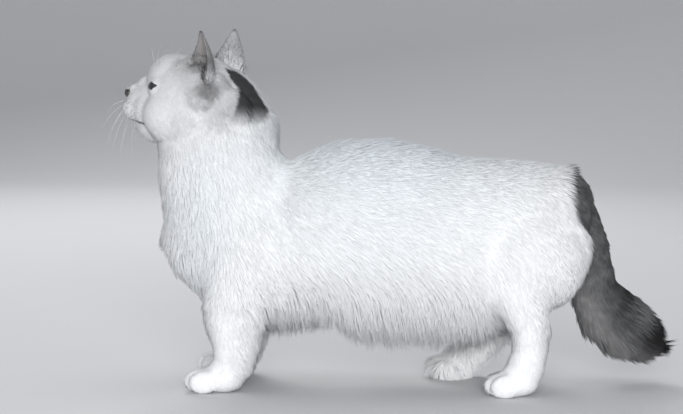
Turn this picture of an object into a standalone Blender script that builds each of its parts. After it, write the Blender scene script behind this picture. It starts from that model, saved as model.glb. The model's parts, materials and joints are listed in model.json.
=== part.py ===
"""A life-size munchkin cat, standing on its four short legs with its head raised.

The cat faces -X, +Y is its right side and +Z is up, in metres. Its body is one smooth form
built from lofted rings and rounded volumes, which thin cuts part into trunk, neck, head,
legs and paws. The tail, ears, eyes and nose are pieces of their own, set on that form.
"""

import math
import random
from typing import NamedTuple

import bmesh
import bpy
from mathutils import Matrix, Vector
from mathutils.bvhtree import BVHTree

GAP = 0.0003  # clearance between pieces that touch
BODY_VOXEL = 0.0026
HEAD_VOXEL = 0.0016
RING_SIDES = 28
REACH = 0.6  # larger than the cat, for the cutters that take a whole side away
BODY_TRIANGLES = 3400
HEAD_TRIANGLES = 2900

# The head's own frame has its middle between the ears, its nose towards -X.
HEAD_MIDDLE = Vector((-0.1598, 0.0, 0.2225))
HEAD_PITCH = math.radians(17.0)  # nose up
HEAD_YAW = math.radians(11.0)  # nose towards the cat's right
HEAD_ROLL = math.radians(1.0)

EAR_ROOT = Vector((0.0140, 0.0222, 0.0130))
EAR_TIP = Vector((0.0062, 0.0355, 0.0578))
EAR_HALF_WIDTH = 0.0170
RIGHT_EAR_BACK = Vector((0.0052, 0.0, 0.0))  # the right ear is held a little further back
EAR_WALL = 0.0016
EAR_OPENS_OUT = math.radians(52.0)
EAR_CURL_LOW = math.radians(105.0)  # how far each edge wraps round, at the root and the tip
EAR_CURL_HIGH = math.radians(58.0)

EYE_MIDDLE = Vector((-0.0216, 0.0166, 0.0040))
EYE_RADIUS = 0.0098
EYE_LOOKS_OUT = math.radians(34.0)
EYE_SLANT = math.radians(14.0)
LID_THICKNESS = 0.0013
LID_HALF_WIDTH = 0.0075
LID_HALF_HEIGHT = 0.0046

# The mouth's line on one side, from under the nose to the corner, in the head's frame.
MOUTH_LINE = (
    (-0.0530, 0.0004, -0.0175),
    (-0.0500, 0.0006, -0.0290),
    (-0.0420, 0.0060, -0.0312),
    (-0.0350, 0.0110, -0.0304),
    (-0.0265, 0.0155, -0.0286),
)
MOUTH_GROOVE = 0.0007  # radius of the groove

# Where the thin cuts run: a point and the normal towards the piece that is cut off.
HEAD_CUT = (Vector((-0.142, 0.0, 0.1985)), Vector((-0.21, 0.02, 0.978)))
NECK_CUT = (Vector((-0.130, 0.0, 0.1573)), Vector((-0.483, 0.0, 0.8756)))
PAW_CUT = 0.0215  # height of a paw's upper edge
REGION_INNER_LOW = 0.0150  # how near the middle a leg's space comes, below and at its top
REGION_INNER_HIGH = 0.0360
REGION_KNEE = 0.040

LOCK_ROOT = 0.0035  # how deep a lock starts under the surface
LOCK_FLOOR = 0.0040  # no lock's tip comes lower
LOCK_CLEARANCE = 0.0095  # between a body lock and the tail's tube
LOCK_STEPS = ((0.0, 1.0), (0.36, 0.94), (0.72, 0.58))  # share of the length, and of the width


class Ring(NamedTuple):
    """One cross-section of a body tube: its middle, half width across and half depth."""

    x: float
    z: float
    half_width: float
    half_depth: float
    y: float = 0.0


class Blob(NamedTuple):
    """A rounded volume: its middle and its half sizes along X, Y and Z."""

    middle: tuple
    radii: tuple
    turn: float = 0.0  # about Y, in degrees


class Leg(NamedTuple):
    """One leg: its side, its rings from the top down, and where its paw stands."""

    name: str
    side: float
    rings: tuple
    paw: Vector
    toe_reach: float
    foot_span: tuple  # along X, of the space that its foot stands in
    joint: tuple  # x, z and radius of the round top of its space


TRUNK = (
    Ring(-0.173, 0.142, 0.016, 0.014),
    Ring(-0.166, 0.136, 0.030, 0.031),
    Ring(-0.150, 0.124, 0.043, 0.044),
    Ring(-0.125, 0.106, 0.052, 0.050),
    Ring(-0.098, 0.0960, 0.056, 0.0450),
    Ring(-0.086, 0.1010, 0.058, 0.0510),
    Ring(-0.068, 0.1165, 0.061, 0.0665),
    Ring(-0.039, 0.1215, 0.064, 0.0745),
    Ring(-0.012, 0.1220, 0.066, 0.0762),
    Ring(0.018, 0.1185, 0.066, 0.0740),
    Ring(0.043, 0.1145, 0.065, 0.0705),
    Ring(0.070, 0.1140, 0.063, 0.0695),
    Ring(0.098, 0.1195, 0.060, 0.0655),
    Ring(0.120, 0.1295, 0.054, 0.0545),
    Ring(0.135, 0.1340, 0.045, 0.0435),
    Ring(0.145, 0.1340, 0.032, 0.0300),
    Ring(0.151, 0.1340, 0.014, 0.0130),
)
NECK = (
    Ring(-0.117, 0.082, 0.038, 0.030),
    Ring(-0.119, 0.100, 0.044, 0.045),
    Ring(-0.122, 0.124, 0.047, 0.0560),
    Ring(-0.1290, 0.150, 0.046, 0.0535),
    Ring(-0.1370, 0.176, 0.044, 0.0460),
    Ring(-0.1395, 0.202, 0.042, 0.0475),
    Ring(-0.1435, 0.222, 0.036, 0.0400),
    Ring(-0.1440, 0.238, 0.028, 0.0310),
    Ring(-0.1445, 0.248, 0.014, 0.0160),
)
TAIL = (
    Ring(0.1180, 0.1620, 0.0105, 0.0105),
    Ring(0.1275, 0.1630, 0.0133, 0.0133),
    Ring(0.1345, 0.1535, 0.0142, 0.0142),
    Ring(0.1400, 0.1342, 0.0148, 0.0148, 0.001),
    Ring(0.1455, 0.1146, 0.0156, 0.0156, 0.003),
    Ring(0.1488, 0.0962, 0.0170, 0.0172, 0.007),
    Ring(0.1535, 0.0783, 0.0200, 0.0203, 0.012),
    Ring(0.1624, 0.0622, 0.0250, 0.0255, 0.017),
    Ring(0.1768, 0.0467, 0.0265, 0.0270, 0.022),
    Ring(0.1892, 0.0378, 0.0225, 0.0228, 0.026),
    Ring(0.1985, 0.0325, 0.0145, 0.0145, 0.028),
    Ring(0.2035, 0.0302, 0.0060, 0.0060, 0.029),
)
TAIL_CUTS = (
    (Vector((0.1465, 0.0, 0.110)), Vector((0.15, 0.1, -0.98))),
    (Vector((0.1600, 0.0, 0.067)), Vector((0.55, 0.2, -0.81))),
)

SHOULDER = Blob((-0.113, 0.036, 0.108), (0.036, 0.024, 0.050), 10.0)
BUTTOCK = Blob((0.1270, 0.0260, 0.1120), (0.0285, 0.0270, 0.0340))
HAUNCH = Blob((0.0980, 0.034, 0.106), (0.0540, 0.0335, 0.047), 8.0)

HEAD_BLOBS = (
    Blob((0.006, 0.0, 0.001), (0.042, 0.036, 0.0335)),  # cranium
    Blob((-0.0165, 0.0, 0.0090), (0.0215, 0.0250, 0.0210)),  # brow and forehead
    Blob((-0.0315, 0.0, -0.0050), (0.0160, 0.0110, 0.0120), 30.0),  # bridge
    Blob((-0.0440, 0.0, -0.0085), (0.0085, 0.0070, 0.0068), 30.0),  # nose end
    Blob((-0.0240, 0.0, -0.0280), (0.0170, 0.0150, 0.0135)),  # lower jaw
    Blob((-0.0335, 0.0, -0.0305), (0.0082, 0.0082, 0.0072)),  # chin
    Blob((0.0300, 0.0, -0.0040), (0.0310, 0.0290, 0.0300)),  # nape
)
MUZZLE = (  # a tube through the face, in the head's frame
    Ring(0.010, 0.000, 0.0320, 0.0300),
    Ring(-0.010, -0.0010, 0.0280, 0.0270),
    Ring(-0.026, -0.0062, 0.0200, 0.0190),
    Ring(-0.036, -0.0125, 0.0145, 0.0150),
    Ring(-0.0435, -0.0155, 0.0118, 0.0116),
    Ring(-0.0485, -0.0172, 0.0080, 0.0072),
)
NOSE = Blob((-0.0500, 0.0, -0.0108), (0.0045, 0.0056, 0.0042), 30.0)
NOSTRIL = Blob((-0.0535, 0.0027, -0.0112), (0.0022, 0.0010, 0.0014), 20.0)
HEAD_SIDE_BLOBS = (
    Blob((-0.0395, 0.0062, -0.0205), (0.0102, 0.0090, 0.0098)),  # whisker pad
    Blob((-0.0110, 0.0205, -0.0160), (0.0250, 0.0195, 0.0230)),  # cheek
    Blob((0.0120, 0.0225, -0.0150), (0.0260, 0.0190, 0.0260)),  # jowl
    Blob((-0.0200, 0.0130, 0.0140), (0.0120, 0.0090, 0.0080)),  # brow ridge
    Blob((0.0140, 0.0210, 0.0150), (0.0230, 0.0150, 0.0180)),  # ear base
    Blob((0.0330, 0.0200, 0.0060), (0.0275, 0.0170, 0.0225)),  # fur behind the ear
)


def fore_leg(name, side, y, x):
    """A front leg and its paw. x moves the whole leg along the body."""
    rings = (
        Ring(x + 0.010, 0.098, 0.022, 0.034, side * y),
        Ring(x + 0.006, 0.074, 0.022, 0.027, side * y),
        Ring(x + 0.005, 0.052, 0.0200, 0.0222, side * y),
        Ring(x + 0.006, 0.036, 0.0175, 0.0185, side * y),
        Ring(x + 0.005, 0.022, 0.0162, 0.0165, side * y),
        Ring(x - 0.001, 0.012, 0.0150, 0.0160, side * y),
    )
    span = (x - 0.045, x + 0.030)
    paw = Vector((x - 0.0080, side * y, 0.0))
    return Leg(name, side, rings, paw, 0.0235, span, (-0.115, 0.100, 0.040))


def hind_leg(name, side, y, x, lean, joint):
    """A hind leg and its paw. lean is how far the thigh stands behind the heel."""
    rings = (
        Ring(x - 0.008 + lean, 0.090, 0.028, 0.038, side * y),
        Ring(x - 0.001 + lean, 0.068, 0.023, 0.0225, side * y),
        Ring(x + 0.004 + 0.8 * lean, 0.052, 0.0180, 0.0165, side * y),
        Ring(x + 0.004 + 0.45 * lean, 0.036, 0.0158, 0.0150, side * y),
        Ring(x + 0.001 + 0.15 * lean, 0.022, 0.0155, 0.0158, side * y),
        Ring(x - 0.004, 0.012, 0.0150, 0.0160, side * y),
    )
    span = (x - 0.045, x + 0.030)
    paw = Vector((x - 0.0110, side * y, 0.0))
    return Leg(name, side, rings, paw, 0.0185, span, joint)


LEGS = (
    fore_leg("foreleg_left", -1.0, 0.042, -0.1270),
    fore_leg("foreleg_right", 1.0, 0.038, -0.1300),
    hind_leg("hindleg_left", -1.0, 0.041, 0.1015, 0.000, (0.100, 0.104, 0.046)),
    hind_leg("hindleg_right", 1.0, 0.039, 0.0560, 0.028, (0.098, 0.104, 0.044)),
)


class Lock(NamedTuple):
    """One lock of the coat: where it leaves the surface, how it leaves and hangs, and its size."""

    root: Vector
    normal: Vector
    leave: Vector
    hang: Vector
    length: float
    width: float
    thickness: float


COAT_WHITE = (0.86, 0.86, 0.85, 1.0)
COAT_GREY = (0.10, 0.10, 0.10, 1.0)
EYE_DARK = (0.03, 0.03, 0.035, 1.0)


def clear_scene():
    """Removes whatever the scene holds."""
    for old in list(bpy.data.objects):
        bpy.data.objects.remove(old, do_unlink=True)


def collection(name, shown=True):
    """A new collection in the scene."""
    made = bpy.data.collections.new(name)
    bpy.context.scene.collection.children.link(made)
    made.hide_render = not shown
    return made


def material(name, colour, roughness):
    """A plain Principled material."""
    made = bpy.data.materials.new(name)
    made.use_nodes = True
    shader = made.node_tree.nodes["Principled BSDF"]
    shader.inputs["Base Color"].default_value = colour
    shader.inputs["Roughness"].default_value = roughness
    shader.inputs["Metallic"].default_value = 0.0
    return made


def add_object(name, shape, group):
    """Puts a bmesh into the scene as an object, and frees it."""
    mesh = bpy.data.meshes.new(name)
    bmesh.ops.recalc_face_normals(shape, faces=shape.faces)
    shape.to_mesh(mesh)
    shape.free()
    made = bpy.data.objects.new(name, mesh)
    group.objects.link(made)
    return made


def bake_modifiers(body):
    """Replaces an object's mesh by what its modifiers make of it."""
    graph = bpy.context.evaluated_depsgraph_get()
    body.data = bpy.data.meshes.new_from_object(body.evaluated_get(graph))
    body.modifiers.clear()


def copy_of(body, group, grow=0.0):
    """A copy of an object, moved outwards along its normals by grow."""
    made = body.copy()
    made.data = body.data.copy()
    group.objects.link(made)
    if grow:
        swell = made.modifiers.new("grow", "DISPLACE")
        swell.strength = grow
        swell.mid_level = 0.0
        bake_modifiers(made)
    return made


def boolean(body, cutter, operation):
    """Cuts or joins body with one object, and applies it."""
    step = body.modifiers.new(operation, "BOOLEAN")
    step.operation = operation
    step.object = cutter
    step.solver = "EXACT"
    bake_modifiers(body)


def keep_largest(body):
    """Leaves only the closed surface with the largest volume."""
    shape = bmesh.new()
    shape.from_mesh(body.data)
    islands = []
    waiting = set(shape.faces)
    while waiting:
        found = {waiting.pop()}
        edge_of_search = list(found)
        while edge_of_search:
            face = edge_of_search.pop()
            near = {other for edge in face.edges for other in edge.link_faces}
            fresh = near & waiting
            waiting -= fresh
            found |= fresh
            edge_of_search.extend(fresh)
        islands.append(found)
    largest = max(islands, key=enclosed_volume)
    spare = [face for island in islands if island is not largest for face in island]
    bmesh.ops.delete(shape, geom=spare, context="FACES")
    shape.to_mesh(body.data)
    shape.free()


def enclosed_volume(faces):
    """The volume inside a closed set of faces."""
    total = 0.0
    for face in faces:
        corners = [loop.vert.co for loop in face.loops]
        for second, third in zip(corners[1:], corners[2:]):
            total += corners[0].dot(second.cross(third)) / 6.0
    return total


def reduce_to(body, triangles):
    """Merges the flattest faces until about this many triangles are left."""
    body.data.calc_loop_triangles()
    share = triangles / max(1, len(body.data.loop_triangles))
    if share < 1.0:
        thin = body.modifiers.new("reduce", "DECIMATE")
        thin.ratio = share
        bake_modifiers(body)


def add_loft(shape, rings, sides=RING_SIDES):
    """Adds a closed tube through the rings, each square to the line through their middles."""
    middles = [Vector((ring.x, ring.y, ring.z)) for ring in rings]
    last = len(rings) - 1
    loops = []
    for index, ring in enumerate(rings):
        ahead = (middles[min(index + 1, last)] - middles[max(index - 1, 0)]).normalized()
        across = (Vector((0.0, 1.0, 0.0)) - ahead * ahead.y).normalized()
        depth = ahead.cross(across)
        frame = Matrix((across * ring.half_width, depth * ring.half_depth, ahead)).transposed()
        place = Matrix.Translation(middles[index]) @ frame.to_4x4()
        made = bmesh.ops.create_circle(shape, segments=sides, radius=1.0, matrix=place)
        loops.append(list({edge for vert in made["verts"] for edge in vert.link_edges}))
    for first, second in zip(loops, loops[1:]):
        bmesh.ops.bridge_loops(shape, edges=first + second)
    bmesh.ops.holes_fill(shape, edges=loops[0] + loops[-1], sides=sides)


def add_lock(shape, lock):
    """Adds a flat, tapered lock that bends from the way it leaves to the way it hangs."""
    point = lock.root - lock.normal * LOCK_ROOT
    span = lock.length + LOCK_ROOT
    loops = []
    travelled = 0.0
    for share, taper in LOCK_STEPS:
        ahead = lock.leave.lerp(lock.hang, share).normalized()
        point = point + ahead * (share - travelled) * span
        travelled = share
        across = lock.normal.cross(ahead).normalized()
        outward = ahead.cross(across)
        frame = Matrix((across, outward, ahead)).transposed()
        frame = frame @ Matrix.Diagonal((lock.width * taper / 2, lock.thickness * taper / 2, 1.0))
        place = Matrix.Translation(point) @ frame.to_4x4()
        ring = bmesh.ops.create_circle(shape, segments=4, radius=1.0, matrix=place)["verts"]
        loops.append(list({edge for vert in ring for edge in vert.link_edges}))
    tip = shape.verts.new(point + lock.hang * (1.0 - travelled) * span)
    for edge in loops[-1]:
        shape.faces.new((*edge.verts, tip))
    for first, second in zip(loops, loops[1:]):
        bmesh.ops.bridge_loops(shape, edges=first + second)
    bmesh.ops.holes_fill(shape, edges=loops[0], sides=4)


def add_blob(shape, blob, side=1.0, segments=24):
    """Adds an ellipsoid, on the cat's right for side 1 and mirrored for side -1."""
    middle = Vector(blob.middle)
    middle.y *= side
    place = Matrix.Translation(middle)
    place @= Matrix.Rotation(math.radians(blob.turn), 4, "Y")
    place @= Matrix.Diagonal((*blob.radii, 1.0))
    rings = segments * 2 // 3
    bmesh.ops.create_uvsphere(shape, u_segments=segments, v_segments=rings, radius=1.0, matrix=place)


def head_frame():
    """The matrix from the head's own frame to the cat's."""
    turn = Matrix.Rotation(-HEAD_YAW, 4, "Z")
    turn @= Matrix.Rotation(HEAD_PITCH, 4, "Y")
    turn @= Matrix.Rotation(HEAD_ROLL, 4, "X")
    return Matrix.Translation(HEAD_MIDDLE) @ turn


def add_head(shape):
    """Adds the head's volumes, in the head's own frame."""
    add_loft(shape, MUZZLE)
    for blob in HEAD_BLOBS:
        add_blob(shape, blob)
    for side in (-1.0, 1.0):
        for blob in HEAD_SIDE_BLOBS:
            add_blob(shape, blob, side)
        lid = Blob(tuple(EYE_MIDDLE), (EYE_RADIUS + LID_THICKNESS,) * 3)
        add_blob(shape, lid, side)


def add_paw(shape, leg):
    """Adds a paw: the pad's mass and four toes, a little below the floor for a flat sole."""
    paw = leg.paw
    heel = Blob((paw.x + 0.004, paw.y, 0.0100), (0.0190, 0.0160, 0.0120))
    add_blob(shape, heel)
    for index, spread in enumerate((-1.5, -0.5, 0.5, 1.5)):
        inner = abs(spread) < 1.0
        reach = leg.toe_reach - (0.0 if inner else 0.0050)
        toe_x = paw.x - reach + 0.0105
        toe_y = paw.y + spread * 0.0078
        toe = Blob((toe_x, toe_y, 0.0085), (0.0125, 0.0060, 0.0100), -8.0)
        add_blob(shape, toe, segments=16)


def voxel_union(body, voxel):
    """Fuses overlapping closed shapes into one skin."""
    fuse = body.modifiers.new("fuse", "REMESH")
    fuse.mode = "VOXEL"
    fuse.voxel_size = voxel
    bake_modifiers(body)


def soften(body, passes, where=lambda point: True):
    """Evens out the vertices that where() picks, pass after pass."""
    chosen = body.vertex_groups.new(name="soft")
    chosen.add([vert.index for vert in body.data.vertices if where(vert.co)], 1.0, "REPLACE")
    even = body.modifiers.new("even", "SMOOTH")
    even.factor = 0.5
    even.iterations = passes
    even.vertex_group = chosen.name
    bake_modifiers(body)
    body.vertex_groups.clear()


def body_form(group):
    """The whole cat without tail, ears, eyes and nose, as one smooth form."""
    shape = bmesh.new()
    add_head(shape)
    bmesh.ops.transform(shape, matrix=head_frame(), verts=shape.verts)
    add_loft(shape, TRUNK)
    add_loft(shape, NECK)
    for side in (-1.0, 1.0):
        for blob in (SHOULDER, HAUNCH, BUTTOCK):
            add_blob(shape, blob, side)
    for leg in LEGS:
        add_loft(shape, leg.rings)
        add_paw(shape, leg)
    body = add_object("body_form", shape, group)
    voxel_union(body, BODY_VOXEL)
    soften(body, 3)
    soften(body, 9, lambda point: point.z > 0.034)
    return body


def head_form(group):
    """The head and the neck under it, with finer detail than the body form."""
    shape = bmesh.new()
    add_head(shape)
    bmesh.ops.transform(shape, matrix=head_frame(), verts=shape.verts)
    add_loft(shape, NECK)
    head = add_object("head_form", shape, group)
    voxel_union(head, HEAD_VOXEL)
    inverse = head_frame().inverted()
    soften(head, 6)
    soften(head, 12, lambda point: (inverse @ point).x > -0.024)
    soften(head, 40, lambda point: (inverse @ point).x > -0.004)
    return head


def half_space(group, point, normal, start=0.0):
    """A large box that fills the side of a plane that its normal points to."""
    shape = bmesh.new()
    box = bmesh.ops.create_cube(shape, size=REACH)
    bmesh.ops.translate(shape, verts=box["verts"], vec=(0.0, 0.0, REACH / 2 + start))
    turn = normal.to_track_quat("Z", "Y").to_matrix().to_4x4()
    bmesh.ops.transform(shape, matrix=Matrix.Translation(point) @ turn, verts=shape.verts)
    return add_object("half_space", shape, group)


def leg_region(group, leg, grow=0.0):
    """The space that holds one leg: round-topped, and leaning outwards towards its top."""
    centre_x, centre_z, radius = leg.joint
    radius += grow
    shape = bmesh.new()
    outline = []
    steps = 16
    for step in range(steps + 1):
        angle = math.pi * step / steps
        x = centre_x + radius * math.cos(angle)
        z = centre_z + radius * math.sin(angle)
        outline.append((x, REGION_INNER_HIGH - grow, z))
    for x in (leg.foot_span[0] - grow, leg.foot_span[1] + grow):
        for z in (-0.05, REGION_KNEE + grow):
            outline.append((x, REGION_INNER_LOW - grow, z))
    for x, inner, z in outline:
        for y in (inner, 0.12):
            shape.verts.new((x, leg.side * y, z))
    hull = bmesh.ops.convex_hull(shape, input=shape.verts)
    spare = [item for item in hull["geom_interior"] if isinstance(item, bmesh.types.BMVert)]
    bmesh.ops.delete(shape, geom=spare, context="VERTS")
    return add_object("leg_region", shape, group)


def cut_piece(source, cutter, name, group):
    """The part of source inside cutter, as a node."""
    piece = copy_of(source, group)
    piece.name = name
    piece.data.name = name
    boolean(piece, cutter, "INTERSECT")
    keep_largest(piece)
    return piece


def ear(name, side, head, cat):
    """One ear: a thin cup, open outwards and a little forwards, that stands on the head."""
    root = Vector((EAR_ROOT.x, side * EAR_ROOT.y, EAR_ROOT.z))
    tip = Vector((EAR_TIP.x, side * EAR_TIP.y, EAR_TIP.z))
    if side > 0:
        root += RIGHT_EAR_BACK
        tip += RIGHT_EAR_BACK / 3.0
    height = (tip - root).length
    shape = bmesh.new()
    bmesh.ops.create_grid(shape, x_segments=11, y_segments=8, size=1.0)
    for vert in shape.verts:
        share = (vert.co.y + 1.0) / 2.0
        wrap = (EAR_CURL_LOW + (EAR_CURL_HIGH - EAR_CURL_LOW) * share) * vert.co.x
        radius = EAR_HALF_WIDTH * (1.0 - share**1.3) ** 0.8 + EAR_WALL
        bow = 0.0035 * math.sin(math.pi * share)
        depth = radius * (1.0 - math.cos(wrap)) - bow - 0.010 * (1.0 - share)
        vert.co = Vector((-depth, radius * math.sin(wrap), share * height))
    sheet = add_object(name, shape, cat)
    wall = sheet.modifiers.new("wall", "SOLIDIFY")
    wall.thickness = EAR_WALL
    wall.offset = 0.0
    bake_modifiers(sheet)
    opening = Matrix.Rotation(side * -EAR_OPENS_OUT, 4, "Z")
    upright = lean_to(tip - root) @ opening
    sheet.data.transform(head_frame() @ Matrix.Translation(root) @ upright)
    boolean(sheet, head, "DIFFERENCE")
    keep_largest(sheet)
    return sheet


def lean_to(direction):
    """The smallest turn that takes +Z to a direction."""
    return Vector((0.0, 0.0, 1.0)).rotation_difference(direction).to_matrix().to_4x4()


def eyeball(name, side, group, grow=0.0):
    """The front of an eyeball, a little more than half, in the cat's frame."""
    shape = bmesh.new()
    turn = Matrix.Rotation(side * -EYE_LOOKS_OUT, 4, "Z")
    turn @= Matrix.Rotation(math.radians(-90.0), 4, "Y")
    bmesh.ops.create_uvsphere(shape, u_segments=16, v_segments=12, radius=EYE_RADIUS + grow)
    back = -0.0020 - grow
    cut = bmesh.ops.bisect_plane(
        shape,
        geom=list(shape.verts) + list(shape.edges) + list(shape.faces),
        plane_co=(0.0, 0.0, back),
        plane_no=(0.0, 0.0, -1.0),
        clear_outer=True,
    )
    rim = [item for item in cut["geom_cut"] if isinstance(item, bmesh.types.BMEdge)]
    bmesh.ops.holes_fill(shape, edges=rim, sides=0)
    middle = Vector((EYE_MIDDLE.x, side * EYE_MIDDLE.y, EYE_MIDDLE.z))
    place = head_frame() @ Matrix.Translation(middle) @ turn
    bmesh.ops.transform(shape, matrix=place, verts=shape.verts)
    return add_object(name, shape, group)


def lid_opening(side, group):
    """A lens-shaped bar through the lids, along the way the eye looks."""
    half_width, half_height = LID_HALF_WIDTH, LID_HALF_HEIGHT
    arc_radius = (half_width**2 + half_height**2) / (2.0 * half_height)
    sweep = math.asin(half_width / arc_radius)
    steps = 8
    shape = bmesh.new()
    outline = []
    for bow in (1.0, -1.0):
        for step in range(steps):
            angle = bow * sweep * (1.0 - 2.0 * step / steps)
            y = arc_radius * math.sin(angle)
            z = bow * (arc_radius * math.cos(angle) - (arc_radius - half_height))
            outline.append(shape.verts.new((0.0, y, z)))
    face = shape.faces.new(outline)
    made = bmesh.ops.extrude_face_region(shape, geom=[face])
    moved = [item for item in made["geom"] if isinstance(item, bmesh.types.BMVert)]
    bmesh.ops.translate(shape, verts=moved, vec=(-0.03, 0.0, 0.0))
    middle = Vector((EYE_MIDDLE.x, side * EYE_MIDDLE.y, EYE_MIDDLE.z))
    tilt = Matrix.Rotation(side * EYE_SLANT, 4, "X")
    turn = Matrix.Rotation(side * -EYE_LOOKS_OUT, 4, "Z")
    place = head_frame() @ Matrix.Translation(middle) @ turn @ tilt
    bmesh.ops.transform(shape, matrix=place, verts=shape.verts)
    return add_object("lid_opening", shape, group)


def tail_form(group):
    """The whole tail, as a tube."""
    shape = bmesh.new()
    add_loft(shape, TAIL, sides=16)
    return add_object("tail_form", shape, group)


def surface_tree(body):
    """A search tree over an object's faces."""
    shape = bmesh.new()
    shape.from_mesh(body.data)
    tree = BVHTree.FromBMesh(shape)
    shape.free()
    return tree


def grow_lock(tree, origin, towards, hang, lift, length, width, lowest=0.0):
    """A lock rooted where the ray from origin meets the surface, or None where it misses."""
    point, normal, _, _ = tree.ray_cast(Vector(origin), Vector(towards).normalized())
    if point is None or point.z < lowest:
        return None
    hang = Vector(hang).normalized()
    leave = (hang + normal * lift).normalized()
    drop = leave.lerp(hang, 0.6).z * length
    if drop < 0.0 and point.z + drop < LOCK_FLOOR:
        length *= max(0.3, (point.z - LOCK_FLOOR) / -drop)
    return Lock(point, normal, leave, hang, length, width, width * 0.5)


def stays_clear(lock, tree):
    """Whether a lock keeps its distance from the surface of another piece."""
    if lock is None:
        return False
    for share in (0.0, 0.5, 1.0):
        point = lock.root + lock.leave.lerp(lock.hang, share) * lock.length * share
        _, _, _, distance = tree.find_nearest(point)
        if distance < LOCK_CLEARANCE:
            return False
    return True


def belly_locks(tree, dice):
    """The fringe under the belly, hanging down and a little back, longer towards the rear."""
    locks = []
    for row, y in enumerate((-0.046, -0.024, 0.0, 0.024, 0.046)):
        for step in range(10):
            x = -0.082 + 0.0146 * step + (0.0073 if row % 2 else 0.0)
            if x > 0.060:
                continue
            length = 0.013 + 0.009 * step / 10 + dice.uniform(-0.003, 0.003)
            hang = (0.35 + dice.uniform(-0.2, 0.2), 2.0 * y, -1.0)
            origin = (x + dice.uniform(-0.002, 0.002), y, -0.1)
            towards = (0.0, 0.0, 1.0)
            locks.append(grow_lock(tree, origin, towards, hang, 0.0, length, 0.0125, 0.036))
    return locks


def chest_locks(tree, dice):
    """The ruff down the throat and chest, lying down and forward."""
    locks = []
    for step in range(8):
        z = 0.172 - 0.0145 * step
        for place in range(4):
            turn = math.radians(-60.0 + 36.0 * place + (18.0 if step % 2 else 0.0) - 3.0)
            out = Vector((-math.cos(turn), math.sin(turn), 0.0))
            origin = Vector((-0.125, 0.0, z + dice.uniform(-0.003, 0.003))) + out * 0.2
            length = 0.010 + 0.045 * (z - 0.06) + dice.uniform(-0.003, 0.003)
            hang = (out.x * 0.15, out.y * 0.15, -1.0)
            locks.append(grow_lock(tree, origin, -out, hang, 0.30, length, 0.0135, 0.06))
    return locks


def breech_locks(tree, dice):
    """The long hair down the back of the thighs."""
    locks = []
    for side in (-1.0, 1.0):
        for step in range(5):
            for place in range(2):
                z = 0.122 - 0.0130 * step
                origin = (0.30, side * (0.038 + 0.014 * place), z + dice.uniform(-0.003, 0.003))
                hang = (0.10, side * 0.10, -1.0)
                length = 0.016 + dice.uniform(-0.003, 0.003)
                towards = (-1.0, 0.0, 0.0)
                locks.append(grow_lock(tree, origin, towards, hang, 0.35, length, 0.0125))
    return locks


def leg_locks(tree, dice):
    """The feathering down the back of the forelegs."""
    locks = []
    for leg in LEGS[:2]:
        for step in range(3):
            z = 0.052 - 0.0105 * step
            origin = (-0.02, leg.side * (abs(leg.paw.y) + 0.004 * (step % 2)), z)
            towards = (-1.0, 0.0, 0.0)
            hang = (0.30, 0.0, -1.0)
            locks.append(grow_lock(tree, origin, towards, hang, 0.45, 0.0115, 0.0105))
    return locks


def tail_locks(tree, dice):
    """Locks all round the tail, lying along it towards its end."""
    locks = []
    for first, second in zip(TAIL[4:-2], TAIL[5:-1]):
        start = Vector((first.x, first.y, first.z))
        ahead = (Vector((second.x, second.y, second.z)) - start).normalized()
        across = ahead.cross(Vector((0.0, 0.0, 1.0))).normalized()
        above = across.cross(ahead)
        count = 4 if first.half_width < 0.016 else 6
        for place in range(count):
            turn = 2.0 * math.pi * (place + dice.uniform(-0.2, 0.2)) / count
            out = across * math.cos(turn) + above * math.sin(turn)
            origin = start + ahead * dice.uniform(0.0, 0.004) + out * 0.1
            length = 0.016 + dice.uniform(-0.003, 0.003)
            locks.append(grow_lock(tree, origin, -out, ahead + out * 0.05, 0.32, length, 0.0140))
    return locks


def unite_locks(body, locks):
    """Joins the locks to the body in one union."""
    group = bpy.data.collections.new("locks")
    for lock in locks:
        if lock is not None:
            shape = bmesh.new()
            add_lock(shape, lock)
            add_object("lock", shape, group)
    step = body.modifiers.new("locks", "BOOLEAN")
    step.operation = "UNION"
    step.operand_type = "COLLECTION"
    step.collection = group
    step.solver = "EXACT"
    bake_modifiers(body)
    for helper in list(group.objects):
        bpy.data.objects.remove(helper, do_unlink=True)
    bpy.data.collections.remove(group)
    keep_largest(body)


def mouth_groove(group, tree, side):
    """A thin tube along the mouth's line, sunk half into the face."""
    curve = bpy.data.curves.new("mouth_groove", "CURVE")
    curve.dimensions = "3D"
    curve.bevel_depth = MOUTH_GROOVE
    curve.bevel_resolution = 1
    curve.use_fill_caps = True
    line = curve.splines.new("POLY")
    steps = 4
    points = []
    for first, second in zip(MOUTH_LINE, MOUTH_LINE[1:]):
        for step in range(steps):
            points.append(Vector(first).lerp(Vector(second), step / steps))
    points.append(Vector(MOUTH_LINE[-1]))
    line.points.add(len(points) - 1)
    for place, point in zip(line.points, points):
        point.y *= side
        on_face, _, _, _ = tree.find_nearest(head_frame() @ point)
        place.co = (*on_face, 1.0)
    guide = bpy.data.objects.new("mouth_guide", curve)
    group.objects.link(guide)
    graph = bpy.context.evaluated_depsgraph_get()
    mesh = bpy.data.meshes.new_from_object(guide.evaluated_get(graph))
    bpy.data.objects.remove(guide, do_unlink=True)
    shape = bmesh.new()
    shape.from_mesh(mesh)
    bmesh.ops.remove_doubles(shape, verts=shape.verts, dist=0.00002)
    return add_object("mouth_groove", shape, group)


def nose_form(name, group):
    """The nose leather: a rounded wedge with two nostrils."""
    shape = bmesh.new()
    add_blob(shape, NOSE, segments=14)
    leather = add_object(name, shape, group)
    for side in (-1.0, 1.0):
        hole = bmesh.new()
        add_blob(hole, NOSTRIL, side, segments=8)
        boolean(leather, add_object("nostril", hole, bpy.data.collections["cutters"]), "DIFFERENCE")
    keep_largest(leather)
    leather.data.transform(head_frame())
    return leather


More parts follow.
